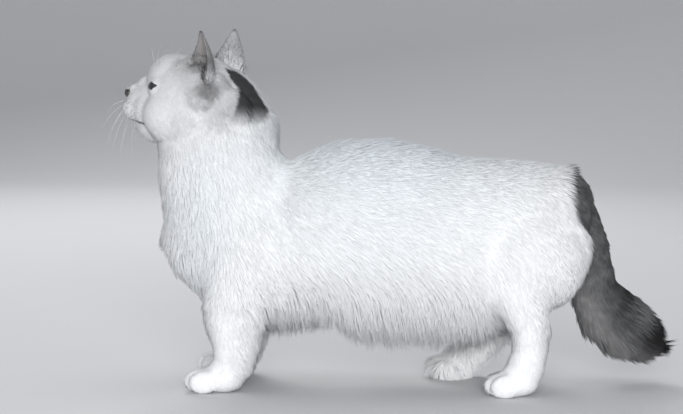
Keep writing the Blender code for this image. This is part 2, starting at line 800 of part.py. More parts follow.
def main():
    """Builds the cat."""
    clear_scene()
    cat = collection("munchkin_cat")
    tools = collection("cutters", shown=False)
    white = material("white_coat", COAT_WHITE, 0.9)
    grey = material("grey_coat", COAT_GREY, 0.9)
    dark = material("nose_and_eyes", EYE_DARK, 0.3)

    dice = random.Random(7)
    body = body_form(tools)
    reduce_to(body, BODY_TRIANGLES)
    up = Vector((0.0, 0.0, 1.0))
    boolean(body, half_space(tools, Vector((0.0, 0.0, 0.0)), -up), "DIFFERENCE")
    plain = copy_of(body, tools)
    tail = tail_form(tools)
    tail_tree = surface_tree(tail)
    tree = surface_tree(body)
    locks = belly_locks(tree, dice) + chest_locks(tree, dice)
    locks += breech_locks(tree, dice) + leg_locks(tree, dice)
    unite_locks(body, [lock for lock in locks if stays_clear(lock, tail_tree)])
    head_source = head_form(tools)
    reduce_to(head_source, HEAD_TRIANGLES)

    # The head is cut off its own finer form, and everything else off the body's.
    head = cut_piece(head_source, half_space(tools, *HEAD_CUT), "head", cat)
    below_head = copy_of(body, tools)
    boolean(below_head, half_space(tools, *HEAD_CUT, start=-GAP), "DIFFERENCE")
    cut_piece(below_head, half_space(tools, *NECK_CUT), "neck", cat)
    torso = copy_of(below_head, cat)
    torso.name = torso.data.name = "torso"
    boolean(torso, half_space(tools, *NECK_CUT, start=-GAP), "DIFFERENCE")
    floor_of_leg = Vector((0.0, 0.0, PAW_CUT))
    for leg in LEGS:
        boolean(torso, leg_region(tools, leg, GAP), "DIFFERENCE")
        whole_leg = cut_piece(body, leg_region(tools, leg), "whole_leg", tools)
        cut_piece(whole_leg, half_space(tools, floor_of_leg, up), leg.name, cat)
        paw_name = leg.name.replace("leg", "paw")
        cut_piece(whole_leg, half_space(tools, floor_of_leg, -up, start=GAP), paw_name, cat)
    keep_largest(torso)

    unite_locks(tail, tail_locks(tail_tree, dice))
    boolean(tail, copy_of(plain, tools, grow=GAP), "DIFFERENCE")
    keep_largest(tail)
    rest = tail
    for (point, normal), name in zip(TAIL_CUTS, ("tail_root", "tail_middle")):
        cut_piece(rest, half_space(tools, point, -normal), name, cat)
        rest = cut_piece(rest, half_space(tools, point, normal, start=GAP), "tail_rest", tools)
    tip = copy_of(rest, cat)
    tip.name = tip.data.name = "tail_tip"

    leather = nose_form("nose", cat)
    boolean(head, copy_of(leather, tools, grow=GAP), "DIFFERENCE")
    face = surface_tree(head_source)
    for side, label in ((-1.0, "left"), (1.0, "right")):
        eyeball("eye_" + label, side, cat)
        boolean(head, lid_opening(side, tools), "DIFFERENCE")
        boolean(head, eyeball("socket", side, tools, grow=GAP), "DIFFERENCE")
        boolean(head, mouth_groove(tools, face, side), "DIFFERENCE")
    keep_largest(head)
    head_grown = copy_of(head_source, tools, grow=GAP)
    for side, label in ((-1.0, "left"), (1.0, "right")):
        ear("ear_" + label, side, head_grown, cat)

    low = min(vert.co.z for piece in cat.objects for vert in piece.data.vertices)
    sides = [[vert.co[axis] for piece in cat.objects for vert in piece.data.vertices] for axis in (0, 1)]
    middle = [(min(values) + max(values)) / 2.0 for values in sides]
    for piece in cat.objects:
        piece.data.transform(Matrix.Translation((-middle[0], -middle[1], -low)))
        wet = piece.name == "nose" or piece.name.startswith("eye")
        patched = piece.name.startswith("tail")
        piece.data.materials.clear()
        piece.data.materials.append(dark if wet else grey if patched else white)


main()
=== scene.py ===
"""Looks of a standing short-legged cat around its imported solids: skin, coat, eyes, nose and whiskers."""

from __future__ import annotations

import json
import logging
import math
from dataclasses import dataclass
from enum import Enum
from typing import Any, Callable, NamedTuple, Sequence

import bmesh
import bpy
import numpy as np
from mathutils import Matrix, Vector
from mathutils.bvhtree import BVHTree
from mathutils.kdtree import KDTree

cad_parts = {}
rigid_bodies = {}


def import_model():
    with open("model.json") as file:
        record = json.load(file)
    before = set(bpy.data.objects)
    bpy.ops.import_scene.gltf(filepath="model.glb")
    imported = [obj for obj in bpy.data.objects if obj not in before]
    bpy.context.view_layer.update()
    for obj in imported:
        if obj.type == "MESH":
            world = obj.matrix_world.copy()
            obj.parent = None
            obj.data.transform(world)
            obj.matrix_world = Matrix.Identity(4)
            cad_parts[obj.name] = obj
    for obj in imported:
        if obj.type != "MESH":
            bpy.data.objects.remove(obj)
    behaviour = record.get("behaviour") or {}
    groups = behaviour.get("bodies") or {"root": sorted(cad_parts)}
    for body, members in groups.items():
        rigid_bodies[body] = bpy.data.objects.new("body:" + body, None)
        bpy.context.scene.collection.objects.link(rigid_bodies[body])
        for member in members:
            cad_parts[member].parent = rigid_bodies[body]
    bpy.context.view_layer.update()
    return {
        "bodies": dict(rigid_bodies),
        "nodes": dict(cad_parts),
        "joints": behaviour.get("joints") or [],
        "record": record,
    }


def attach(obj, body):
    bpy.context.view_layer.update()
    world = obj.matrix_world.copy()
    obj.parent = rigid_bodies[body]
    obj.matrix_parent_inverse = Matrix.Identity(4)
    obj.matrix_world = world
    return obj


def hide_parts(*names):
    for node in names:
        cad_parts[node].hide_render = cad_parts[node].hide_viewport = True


LOG = logging.getLogger("cat")
BODY = "root"
BAKE_MAP = "OFBake"
BAKE_PATCH = 0.003
THINNEST_TUBE = 0.3
THINNEST_BLOB = 0.4
FLESH = (
    "torso",
    "neck",
    "head",
    "ear_left",
    "ear_right",
    "foreleg_left",
    "foreleg_right",
    "forepaw_left",
    "forepaw_right",
    "hindleg_left",
    "hindleg_right",
    "hindpaw_left",
    "hindpaw_right",
    "tail_root",
    "tail_middle",
    "tail_tip",
)

Colour = tuple[float, float, float]
Point = tuple[float, float, float]
Array = np.ndarray


class Side(Enum):
    """The cat's two sides, with the sign of Y on each."""

    LEFT = -1.0
    RIGHT = 1.0

    def mirrored(self, point: Vector) -> Vector:
        """A point that is given for the right side, on this side."""
        return Vector((point.x, self.value * point.y, point.z))


class Region(Enum):
    """The coat's pieces: each one's name, and the name of a record's slot, which the script does not read;
    every piece takes the same finish.
    """

    FACE = ("coat_face", "face_coat")
    CROWN = ("coat_crown", "face_coat")
    CHEEKS = ("coat_cheeks", "face_coat")
    EARS = ("coat_ears", "grey_ear")
    RUFF = ("coat_ruff", "white_coat")
    CHEST = ("coat_chest", "white_coat")
    BACK = ("coat_back", "white_coat")
    FLANK_LEFT = ("coat_flank_left", "white_coat")
    FLANK_RIGHT = ("coat_flank_right", "white_coat")
    BELLY = ("coat_belly", "white_coat")
    LEGS = ("coat_legs", "leg_coat")
    TAIL = ("coat_tail", "dark_tail")


class Ring(NamedTuple):
    """One cross-section of a tube: its middle, half width across and half depth."""

    x: float
    z: float
    half_width: float
    half_depth: float
    y: float = 0.0


class Blob(NamedTuple):
    """A rounded volume: middle, half sizes, the coat's depth over it and its turn about Y in degrees."""

    middle: Point
    radii: Point
    coat: float
    turn: float = 0.0


@dataclass(frozen=True)
class HeadPlace:
    """Where the head is and how it is turned, before the cat is centred."""

    middle: Vector = Vector((-0.1598, 0.0, 0.2225))
    pitch: float = math.radians(17.0)
    yaw: float = math.radians(11.0)
    roll: float = math.radians(1.0)

    def matrix(self) -> Matrix:
        """The matrix from the head's own frame to the uncentred cat's."""
        turn = Matrix.Rotation(-self.yaw, 4, "Z") @ Matrix.Rotation(self.pitch, 4, "Y")
        return Matrix.Translation(self.middle) @ turn @ Matrix.Rotation(self.roll, 4, "X")


@dataclass(frozen=True)
class EyePlace:
    """The eyeball and the opening of its lids, in the head's frame, for the right side."""

    middle: Vector = Vector((-0.0198, 0.0168, 0.0042))
    radius: float = 0.0098
    looks_out: float = math.radians(54.0)
    slant: float = math.radians(20.0)
    half_width: float = 0.0058
    half_height: float = 0.0019
    lid: float = 0.0009

    def matrix(self, side: Side) -> Matrix:
        """The eye's own frame, looking along -X, in the head's frame."""
        turn = Matrix.Rotation(side.value * -self.looks_out, 4, "Z")
        place = Matrix.Translation(side.mirrored(self.middle))
        return place @ turn @ Matrix.Rotation(side.value * self.slant, 4, "X")


@dataclass(frozen=True)
class EarPlace:
    """One ear's cup, in the head's frame, for the right side."""

    root: Vector = Vector((0.0140, 0.0222, 0.0130))
    tip: Vector = Vector((0.0062, 0.0355, 0.0578))
    right_back: Vector = Vector((0.0052, 0.0, 0.0))
    half_width: float = 0.0164
    wall: float = 0.0011
    opens_out: float = math.radians(52.0)
    curl_low: float = math.radians(105.0)
    curl_high: float = math.radians(58.0)

    def ends(self, side: Side) -> tuple[Vector, Vector]:
        """The middle of the ear's root, and its tip."""
        root, tip = side.mirrored(self.root), side.mirrored(self.tip)
        if side is Side.RIGHT:
            root += self.right_back
            tip += self.right_back / 3.0
        return root, tip

    def matrix(self, side: Side) -> Matrix:
        """The ear's own frame, standing along Z and open towards -X, in the head's frame."""
        root, tip = self.ends(side)
        lean = Vector((0.0, 0.0, 1.0)).rotation_difference(tip - root).to_matrix().to_4x4()
        opening = Matrix.Rotation(side.value * -self.opens_out, 4, "Z")
        return Matrix.Translation(root) @ lean @ opening


HEAD = HeadPlace()
EYE = EyePlace()
EAR = EarPlace()


@dataclass(frozen=True)
class Centring:
    """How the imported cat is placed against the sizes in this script."""

    shift: Vector

    @classmethod
    def from_eye(cls, node: bpy.types.Object) -> "Centring":
        """Finds the shift from the sphere that the left eye's solid is cut from.

        Args:
            node: The left eye's packed object.

        Returns:
            The placing that puts this script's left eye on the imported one.
        """
        points = np.array([vert.co for vert in node.data.vertices], float)
        rows = np.column_stack((2.0 * points, np.ones(len(points))))
        fitted = np.linalg.lstsq(rows, (points**2).sum(axis=1), rcond=None)[0][:3]
        own = HEAD.matrix() @ EYE.matrix(Side.LEFT).translation
        return cls(Vector(fitted) - own)

    def body(self) -> Matrix:
        """The matrix from this script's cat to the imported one."""
        return Matrix.Translation(self.shift)

    def head(self) -> Matrix:
        """The matrix from the head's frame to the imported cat's."""
        return self.body() @ HEAD.matrix()


def hidden_collection(name: str) -> bpy.types.Collection:
    """Makes a collection for cutters and other helpers, which no render shows.

    Args:
        name: The collection's name.

    Returns:
        The new collection, linked to the scene.
    """
    made = bpy.data.collections.new(name)
    bpy.context.scene.collection.children.link(made)
    made.hide_render = True
    return made


def add_object(
    name: str, shape: bmesh.types.BMesh, group: bpy.types.Collection | None = None
) -> bpy.types.Object:
    """Turns a bmesh into an object at the origin, and frees it.

    Args:
        name: The object's name.
        shape: The mesh, with its place in its vertices.
        group: The collection it goes in, or the scene's own where None.

    Returns:
        The new object.
    """
    mesh = bpy.data.meshes.new(name)
    bmesh.ops.recalc_face_normals(shape, faces=shape.faces)
    shape.to_mesh(mesh)
    shape.free()
    made = bpy.data.objects.new(name, mesh)
    (group or bpy.context.scene.collection).objects.link(made)
    return made


def smooth_faces(piece: bpy.types.Object) -> None:
    """Shades a piece's faces smooth."""
    for face in piece.data.polygons:
        face.use_smooth = True


def store(mesh: bpy.types.Mesh, name: str, values: Array) -> None:
    """Stores a number for each vertex, under a name that a material reads."""
    layer = mesh.attributes.new(name, "FLOAT", "POINT")
    layer.data.foreach_set("value", values.astype(np.float32))


def apply_modifiers(piece: bpy.types.Object) -> None:
    """Replaces a piece's mesh by what its modifiers make of it.

    Args:
        piece: The object, whose modifiers are then gone.
    """
    graph = bpy.context.evaluated_depsgraph_get()
    old = piece.data
    piece.data = bpy.data.meshes.new_from_object(piece.evaluated_get(graph))
    piece.modifiers.clear()
    bpy.data.meshes.remove(old)


def fuse(piece: bpy.types.Object, voxel: float) -> None:
    """Makes one closed surface of overlapping volumes.

    Args:
        piece: The object to remesh.
        voxel: The size of the new faces, in metres.
    """
    step = piece.modifiers.new("fuse", "REMESH")
    step.mode = "VOXEL"
    step.voxel_size = voxel
    apply_modifiers(piece)


def combine(piece: bpy.types.Object, other: bpy.types.Object, operation: str) -> None:
    """Cuts or joins two closed objects by one exact Boolean, and removes the second.

    Args:
        piece: The object that stays.
        other: The object that cuts it or joins it.
        operation: UNION or DIFFERENCE.
    """
    step = piece.modifiers.new(operation, "BOOLEAN")
    step.operation = operation
    step.object = other
    step.solver = "EXACT"
    apply_modifiers(piece)
    bpy.data.objects.remove(other, do_unlink=True)


def soften(piece: bpy.types.Object, passes: int, where: Callable[[Vector], bool] | None = None) -> None:
    """Evens out a surface, pass after pass.

    Args:
        piece: The object.
        passes: How many times each vertex moves towards its neighbours.
        where: Picks the vertices by their place, or all of them where None.
    """
    step = piece.modifiers.new("even", "SMOOTH")
    step.factor = 0.5
    step.iterations = passes
    if where is not None:
        chosen = piece.vertex_groups.new(name="soft")
        chosen.add([vert.index for vert in piece.data.vertices if where(vert.co)], 1.0, "REPLACE")
        step.vertex_group = chosen.name
    apply_modifiers(piece)
    piece.vertex_groups.clear()


def close_tube(shape: bmesh.types.BMesh, loops: Sequence[list[bmesh.types.BMEdge]], sides: int) -> None:
    """Joins loops of edges one to the next, and closes both ends.

    Args:
        shape: The mesh that they are in.
        loops: The loops, in order.
        sides: How many edges each has.
    """
    for first, second in zip(loops, loops[1:]):
        bmesh.ops.bridge_loops(shape, edges=first + second)
    bmesh.ops.holes_fill(shape, edges=loops[0] + loops[-1], sides=sides)


def cut_flat(shape: bmesh.types.BMesh, place: Point, outward: Point) -> None:
    """Cuts away what lies beyond a plane, and closes the cut.

    Args:
        shape: The mesh.
        place: A point on the plane.
        outward: The way to the side that goes.
    """
    everything = list(shape.verts) + list(shape.edges) + list(shape.faces)
    cut = bmesh.ops.bisect_plane(
        shape, geom=everything, plane_co=place, plane_no=outward, clear_outer=True
    )
    rim = [item for item in cut["geom_cut"] if isinstance(item, bmesh.types.BMEdge)]
    bmesh.ops.holes_fill(shape, edges=rim, sides=0)


def add_tube(
    shape: bmesh.types.BMesh, rings: Sequence[Ring], coats: Sequence[float], sides: int = 36
) -> None:
    """Adds a closed tube through rings, each square to the line through their middles.

    Args:
        shape: The mesh that it goes in.
        rings: The cross-sections of the tube with its coat.
        coats: The coat's depth, taken off each ring's half sizes; the last one stands for the rest.
        sides: How many corners each ring has.
    """
    middles = [Vector((ring.x, ring.y, ring.z)) for ring in rings]
    last = len(rings) - 1
    loops = []
    for index, ring in enumerate(rings):
        ahead = (middles[min(index + 1, last)] - middles[max(index - 1, 0)]).normalized()
        across = (Vector((0.0, 1.0, 0.0)) - ahead * ahead.y).normalized()
        coat = coats[min(index, len(coats) - 1)]
        wide = max(ring.half_width - coat, THINNEST_TUBE * ring.half_width)
        deep = max(ring.half_depth - coat, THINNEST_TUBE * ring.half_depth)
        frame = Matrix((across * wide, ahead.cross(across) * deep, ahead)).transposed()
        place = Matrix.Translation(middles[index]) @ frame.to_4x4()
        made = bmesh.ops.create_circle(shape, segments=sides, radius=1.0, matrix=place)
        loops.append(list({edge for vert in made["verts"] for edge in vert.link_edges}))
    close_tube(shape, loops, sides)


def add_blob(shape: bmesh.types.BMesh, blob: Blob, side: float = 1.0, segments: int = 32) -> None:
    """Adds an ellipsoid, less the coat's depth.

    Args:
        shape: The mesh that it goes in.
        blob: Its place and sizes, with the coat.
        side: The factor on its Y.
        segments: How many faces go round it.
    """
    middle = Vector((blob.middle[0], side * blob.middle[1], blob.middle[2]))
    radii = [max(radius - blob.coat, THINNEST_BLOB * radius) for radius in blob.radii]
    place = Matrix.Translation(middle) @ Matrix.Rotation(math.radians(blob.turn), 4, "Y")
    place @= Matrix.Diagonal((*radii, 1.0))
    rings = segments * 2 // 3
    bmesh.ops.create_uvsphere(shape, u_segments=segments, v_segments=rings, radius=1.0, matrix=place)


def thread(
    shape: bmesh.types.BMesh, points: Sequence[Vector], radii: Sequence[float], sides: int
) -> None:
    """Adds a closed thread that follows points, with its own radius at each.

    Args:
        shape: The mesh that it goes in.
        points: Its centreline.
        radii: Its radius at each point.
        sides: How many corners each ring has.
    """
    loops = []
    last = len(points) - 1
    for index, (point, radius) in enumerate(zip(points, radii)):
        ahead = points[min(index + 1, last)] - points[max(index - 1, 0)]
        place = Matrix.Translation(point) @ ahead.to_track_quat("Z", "Y").to_matrix().to_4x4()
        made = bmesh.ops.create_circle(shape, segments=sides, radius=radius, matrix=place)
        loops.append(list({edge for vert in made["verts"] for edge in vert.link_edges}))
    close_tube(shape, loops, sides)


class Wire:
    """A socket that adds Math nodes where it is used in an expression."""

    def __init__(self, board: "Board", socket: bpy.types.NodeSocket) -> None:
        """Keeps the node tree's board and the output socket."""
        self.board = board
        self.socket = socket

    def _maths(self, operation: str, *terms: Any) -> "Wire":
        """Adds one Math node on the given terms."""
        return self.board.add("ShaderNodeMath", {"operation": operation}, dict(enumerate(terms)))

    def __add__(self, other: Any) -> "Wire":
        """self + other"""
        return self._maths("ADD", self, other)

    __radd__ = __add__

    def __sub__(self, other: Any) -> "Wire":
        """self - other"""
        return self._maths("SUBTRACT", self, other)

    def __rsub__(self, other: Any) -> "Wire":
        """other - self"""
        return self._maths("SUBTRACT", other, self)

    def __mul__(self, other: Any) -> "Wire":
        """self * other"""
        return self._maths("MULTIPLY", self, other)

    __rmul__ = __mul__

    def __truediv__(self, other: Any) -> "Wire":
        """self / other"""
        return self._maths("DIVIDE", self, other)

    def __pow__(self, other: Any) -> "Wire":
        """self ** other"""
        return self._maths("POWER", self, other)

    def __or__(self, other: Any) -> "Wire":
        """The larger of two masks."""
        return self._maths("MAXIMUM", self, other)

    def step(self, low: float, high: float) -> "Wire":
        """A smooth rise from 0 at low to 1 at high."""
        settings = {"interpolation_type": "SMOOTHSTEP"}
        return self.board.add("ShaderNodeMapRange", settings, {0: self, 1: low, 2: high})


class Board:
    """A material's node tree while it is being wired."""

    def __init__(self, name: str, roughness: float) -> None:
        """Starts a material with one Principled shader.

        Args:
            name: The material's name.
            roughness: The shader's roughness.
        """
        self.material = bpy.data.materials.new(name)
        self.material.use_nodes = True
        self.tree = self.material.node_tree
        self.shader = self.tree.nodes["Principled BSDF"]
        self.shader.inputs["Roughness"].default_value = roughness

    def add(
        self,
        kind: str,
        settings: dict[str, Any] | None = None,
        sockets: dict[Any, Any] | None = None,
        out: Any = 0,
    ) -> Wire:
        """Adds any node.

        Args:
            kind: The node's type.
            settings: Its properties, set first. The key stops holds a ramp's places and colours.
            sockets: The value or wire of each input, by name or number.
            out: The output that is passed on, by name or number.

        Returns:
            That output.
        """
        node = self.tree.nodes.new(kind)
        for name, value in (settings or {}).items():
            if name == "stops":
                self._set_stops(node.color_ramp, value)
            else:
                setattr(node, name, value)
        for name, value in (sockets or {}).items():
            if isinstance(value, Wire):
                self.tree.links.new(value.socket, node.inputs[name])
            else:
                node.inputs[name].default_value = value
        return Wire(self, node.outputs[out])

    @staticmethod
    def _set_stops(ramp: bpy.types.ColorRamp, stops: Sequence[tuple[float, Colour]]) -> None:
        """Gives a ramp its places and colours."""
        for _ in range(len(stops) - 2):
            ramp.elements.new(0.5)
        for element, (place, colour) in zip(ramp.elements, stops):
            element.position = place
            element.color = (*colour, 1.0)

    def place(self) -> Wire:
        """The point on the piece, in the piece's own coordinates."""
        return self.add("ShaderNodeTexCoord", out="Object")

    def stored(self, name: str) -> Wire:
        """A number that the piece's own vertices carry."""
        return self.add("ShaderNodeAttribute", {"attribute_name": name}, out="Fac")

    def turned(self, frame: Matrix) -> Wire:
        """The point on the piece, seen in another frame.

        Args:
            frame: The matrix from that frame to the piece's.

        Returns:
            The point in that frame.
        """
        sockets = {0: self.place(), 1: frame.translation, 2: frame.to_euler("XYZ")}
        return self.add("ShaderNodeMapping", {"vector_type": "TEXTURE"}, sockets)

    def axes(self, vector: Wire) -> tuple[Wire, Wire, Wire]:
        """The three parts of a vector."""
        parts = self.add("ShaderNodeSeparateXYZ", None, {0: vector})
        outputs = parts.socket.node.outputs
        return tuple(Wire(self, outputs[index]) for index in range(3))

    def mix(self, share: Any, first: Any, second: Any) -> Wire:
        """One colour over another.

        Args:
            share: How much of the second shows.
            first: The colour below, as three numbers or a wire.
            second: The colour above.

        Returns:
            The mixed colour.
        """
        sockets = {0: share}
        for number, colour in ((6, first), (7, second)):
            sockets[number] = colour if isinstance(colour, Wire) else (*colour, 1.0)
        return self.add("ShaderNodeMix", {"data_type": "RGBA"}, sockets, out=2)

    def noise(self, vector: Wire, scale: float, detail: float = 2.0) -> Wire:
        """Cloudy noise from 0 to 1."""
        return self.add("ShaderNodeTexNoise", None, {"Vector": vector, "Scale": scale, "Detail": detail})

    def spot(self, vector: Wire, middle: Point, radii: Point, edge: float, rough: Any = 0.0) -> Wire:
        """A soft-edged ellipsoid mask.

        Args:
            vector: The point that is tested.
            middle: The spot's middle.
            radii: Its half sizes.
            edge: How wide its edge is, as a share of its size.
            rough: What is added to the edge, such as noise around nought.

        Returns:
            1 inside, 0 outside.
        """
        away = self.add("ShaderNodeVectorMath", {"operation": "SUBTRACT"}, {0: vector, 1: middle})
        away = self.add("ShaderNodeVectorMath", {"operation": "DIVIDE"}, {0: away, 1: radii})
        far = self.add("ShaderNodeVectorMath", {"operation": "LENGTH"}, {0: away}, out="Value")
        return 1.0 - (far + rough).step(1.0 - edge, 1.0 + edge)

    def feed(self, name: str, value: Any) -> None:
        """Links a wire to the shader, or sets a plain value on it."""
        if isinstance(value, Wire):
            self.tree.links.new(value.socket, self.shader.inputs[name])
        else:
            self.shader.inputs[name].default_value = value

    def bump(self, height: Wire, depth: float) -> None:
        """Feeds a height to the shader's normal.

        Args:
            height: The pattern.
            depth: Its height, in metres.
        """
        sockets = {"Height": height, "Distance": depth}
        self.feed("Normal", self.add("ShaderNodeBump", None, sockets, out="Normal"))


class Spot(NamedTuple):
    """A soft patch of colour, used for markings and for painted shade: its middle, half sizes, softness,
    strength and colour.
    """

    middle: Point
    radii: Point
    edge: float
    share: float
    colour: Colour

    def paint(self, board: "Board", vector: Wire, below: Wire, rough: Any) -> Wire:
        """Lays the patch over a colour.

        Args:
            board: The material's board.
            vector: The point that is coloured, in the patch's frame.
            below: The colour under it.
            rough: Noise around nought, for its edge.

        Returns:
            The colour with the marking.
        """
        mask = board.spot(vector, self.middle, self.radii, self.edge, rough)
        return board.mix(mask * self.share, below, self.colour)


# Painted shade: a bluish grey laid over the back and the front of the chest.
PAINTED_SHADE_BLUE_GREY = (0.66, 0.715, 0.76)
# Painted shade: a grey laid over the brow and the muzzle.
PAINTED_SHADE_GREY = (0.57, 0.575, 0.58)
SMOKE = (0.33, 0.33, 0.335)


@dataclass(frozen=True)
class MarkingsAndPaintedShade:
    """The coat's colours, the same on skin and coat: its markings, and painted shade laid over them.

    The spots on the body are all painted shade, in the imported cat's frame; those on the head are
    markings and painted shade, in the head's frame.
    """

    white: Colour = (0.86, 0.87, 0.88)
    painted_shade_on_body: tuple[Spot, ...] = (
        # Painted shade: bluish grey over the back, darker on top where less light falls.
        Spot((-0.0100, 0.0, 0.1950), (0.1000, 0.0900, 0.0900), 0.95, 0.75, PAINTED_SHADE_BLUE_GREY),
        # Painted shade: grey over the front of the chest.
        Spot((-0.1500, 0.0, 0.1280), (0.0260, 0.0700, 0.0600), 0.90, 0.60, PAINTED_SHADE_BLUE_GREY),
    )
    markings_and_shade_on_head: tuple[Spot, ...] = (
        # Painted shade: grey over the whole head and face.
        Spot((-0.0050, 0.0, 0.0000), (0.0600, 0.0520, 0.0520), 0.45, 0.85, (0.61, 0.61, 0.62)),
        # Painted shade: darker grey over the brow.
        Spot((-0.0200, 0.0, 0.0260), (0.0360, 0.0360, 0.0240), 0.55, 0.80, PAINTED_SHADE_GREY),
        # Painted shade: darker grey over the muzzle and chin.
        Spot((-0.0450, 0.0, -0.0270), (0.0220, 0.0220, 0.0230), 0.55, 0.80, PAINTED_SHADE_GREY),
        Spot((0.0110, -0.0340, 0.0260), (0.0170, 0.0210, 0.0220), 0.80, 0.42, SMOKE),
        Spot((0.0370, -0.0333, 0.0140), (0.0170, 0.0200, 0.0220), 0.45, 0.55, SMOKE),
        Spot((0.0232, -0.0400, 0.0168), (0.0090, 0.0200, 0.0075), 0.50, 0.90, (0.20, 0.20, 0.205)),
        Spot((0.0075, -0.0310, 0.0530), (0.0200, 0.0200, 0.0250), 0.25, 1.00, (0.285, 0.285, 0.29)),
        # Painted shade: grey over the far ear, whose coat is white.
        Spot((0.0120, 0.0320, 0.0560), (0.0200, 0.0200, 0.0260), 0.60, 0.90, (0.36, 0.36, 0.37)),
        # Painted shade: dark grey in the small pocket low on the near ear's outer edge.
        Spot((0.0206, -0.0358, 0.0353), (0.0046, 0.0100, 0.0075), 0.60, 0.55, (0.13, 0.13, 0.135)),
    )
    nape_dark: Colour = (0.052, 0.053, 0.055)
    tail_dark: Colour = (0.020, 0.020, 0.021)
    tail_grey: Colour = (0.085, 0.086, 0.088)
    tail_light: Colour = (0.270, 0.270, 0.272)

    def paint(self, board: Board, head: Matrix) -> Wire:
        """Wires the markings and the painted shade.

        Args:
            board: The material's board.
            head: The matrix from the head's frame to the piece's.

        Returns:
            The coat's colour, painted shade included.
        """
        place = board.place()
        local = board.turned(head)
        _, y, z = board.axes(local)
        rough = (board.noise(local, 260.0) - 0.5) * 0.5
        fine = rough * 0.5
        left = 1.0 - y.step(0.0010, 0.0040)
        dim_white = tuple(0.93 * part for part in self.white)
        colour = board.mix(board.noise(place, 45.0) * 0.35, self.white, dim_white)

        for spot in self.painted_shade_on_body:
            colour = spot.paint(board, place, colour, 0.0)
        for spot in self.markings_and_shade_on_head:
            colour = spot.paint(board, local, colour, rough)

        patch = board.spot(local, (0.0405, -0.0120, 0.0130), (0.0265, 0.0300, 0.0270), 0.10, fine)
        lobe = board.spot(local, (0.0290, -0.0330, 0.0090), (0.0180, 0.0320, 0.0220), 0.08, fine)
        crown = board.spot(local, (0.0100, -0.0200, 0.0300), (0.0235, 0.0155, 0.0200), 0.08, fine)
        patch = patch * (1.0 - lobe) * (1.0 - crown) * left * z.step(-0.0050, 0.0140)
        colour = board.mix(patch, colour, self.nape_dark)

        on_tail = board.stored("tail")
        under = board.stored("under")
        streaks = board.noise(place, 120.0, 3.0).step(0.35, 0.70)
        tail = board.mix(under * 0.72 + streaks * 0.28, self.tail_grey, self.tail_light)
        brush = board.spot(place, (0.1980, 0.0300, 0.0560), (0.0360, 0.0450, 0.0450), 0.50)
        tail = board.mix(brush * (1.0 - under * 0.45), tail, self.tail_dark)
        return board.mix(on_tail, colour, tail)


MARKINGS_AND_PAINTED_SHADE = MarkingsAndPaintedShade()


@dataclass(frozen=True)
class CoatFinish:
    """Fur: the markings and painted shade, with painted shade darkening the roots, and a little change
    from tuft to tuft.
    """

    name: str
    roughness: float = 0.92

    def make(self, head: Matrix) -> bpy.types.Material:
        """Makes the coat's material.

        Args:
            head: The matrix from the head's frame to the piece's.

        Returns:
            The material.
        """
        board = Board(self.name, self.roughness)
        colour = MARKINGS_AND_PAINTED_SHADE.paint(board, head)
        along = board.stored("along")
        shade = board.stored("shade")
        # Painted shade: up to 30 percent darker at the roots, plus a small random change of tone from tuft
        # to tuft.
        dark = (1.0 - along.step(-0.2, 0.55)) * 0.30 + shade * 0.10
        colour = board.mix(dark, colour, (0.0, 0.0, 0.0))
        board.feed("Base Color", colour)
        board.feed("Specular IOR Level", 0.18)
        return board.material


@dataclass(frozen=True)
class SkinFinish:
    """Skin under the coat: the markings with their painted shade, pinkish in the ears, dark along the
    mouth and at the eyes.
    """

    name: str = "skin_under_coat"
    ear_pink: Colour = (0.265, 0.245, 0.24)
    lip: Colour = (0.10, 0.085, 0.085)

    def make(self, head: Matrix) -> bpy.types.Material:
        """Makes the skin's material.

        Args:
            head: The matrix from the head's frame to the piece's.

        Returns:
            The material.
        """
        board = Board(self.name, 0.9)
        colour = MARKINGS_AND_PAINTED_SHADE.paint(board, head)
        grain = board.noise(board.place(), 900.0, 4.0)
        colour = board.mix(grain * 0.25, colour, (0.0, 0.0, 0.0))
        cup = board.stored("cup")
        colour = board.mix(cup * 0.75, colour, self.ear_pink)
        lip = board.stored("lip")
        colour = board.mix(lip, colour, self.lip)
        board.feed("Base Color", colour)
        board.feed("Specular IOR Level", 0.2)
        board.bump(grain, 0.0006)
        return board.material


@dataclass(frozen=True)
class EyeFinish:
    """A wet eye: a dark pupil, a blue-grey iris with fibres, a dark rim and a dim white."""

    pupil: float = 0.0054
    iris: float = 0.0070
    iris_dark: Colour = (0.018, 0.026, 0.045)
    iris_light: Colour = (0.055, 0.080, 0.125)
    white: Colour = (0.05, 0.045, 0.045)

    def make(self, name: str, eye: Matrix) -> bpy.types.Material:
        """Makes one eye's material.

        Args:
            name: The material's name.
            eye: The matrix from the eye's frame to the piece's.

        Returns:
            The material.
        """
        board = Board(name, 0.12)
        local = board.turned(eye)
        _, y, z = board.axes(local)
        far = (y * y + z * z) ** 0.5
        slit = (y * y * 1.5 + z * z) ** 0.5
        fibres = board.noise(local, 900.0, 3.0).step(0.3, 0.7)
        iris = board.mix(fibres, self.iris_dark, self.iris_light)
        ring = far.step(self.iris - 0.0012, self.iris)
        iris = board.mix(ring, iris, (0.012, 0.012, 0.016))
        iris = board.mix(far.step(self.iris, self.iris + 0.0006), iris, self.white)
        dark = 1.0 - slit.step(self.pupil - 0.0002, self.pupil + 0.0002)
        board.feed("Base Color", board.mix(dark, iris, (0.004, 0.004, 0.005)))
        board.feed("Coat Weight", 1.0)
        board.feed("Coat Roughness", 0.02)
        return board.material


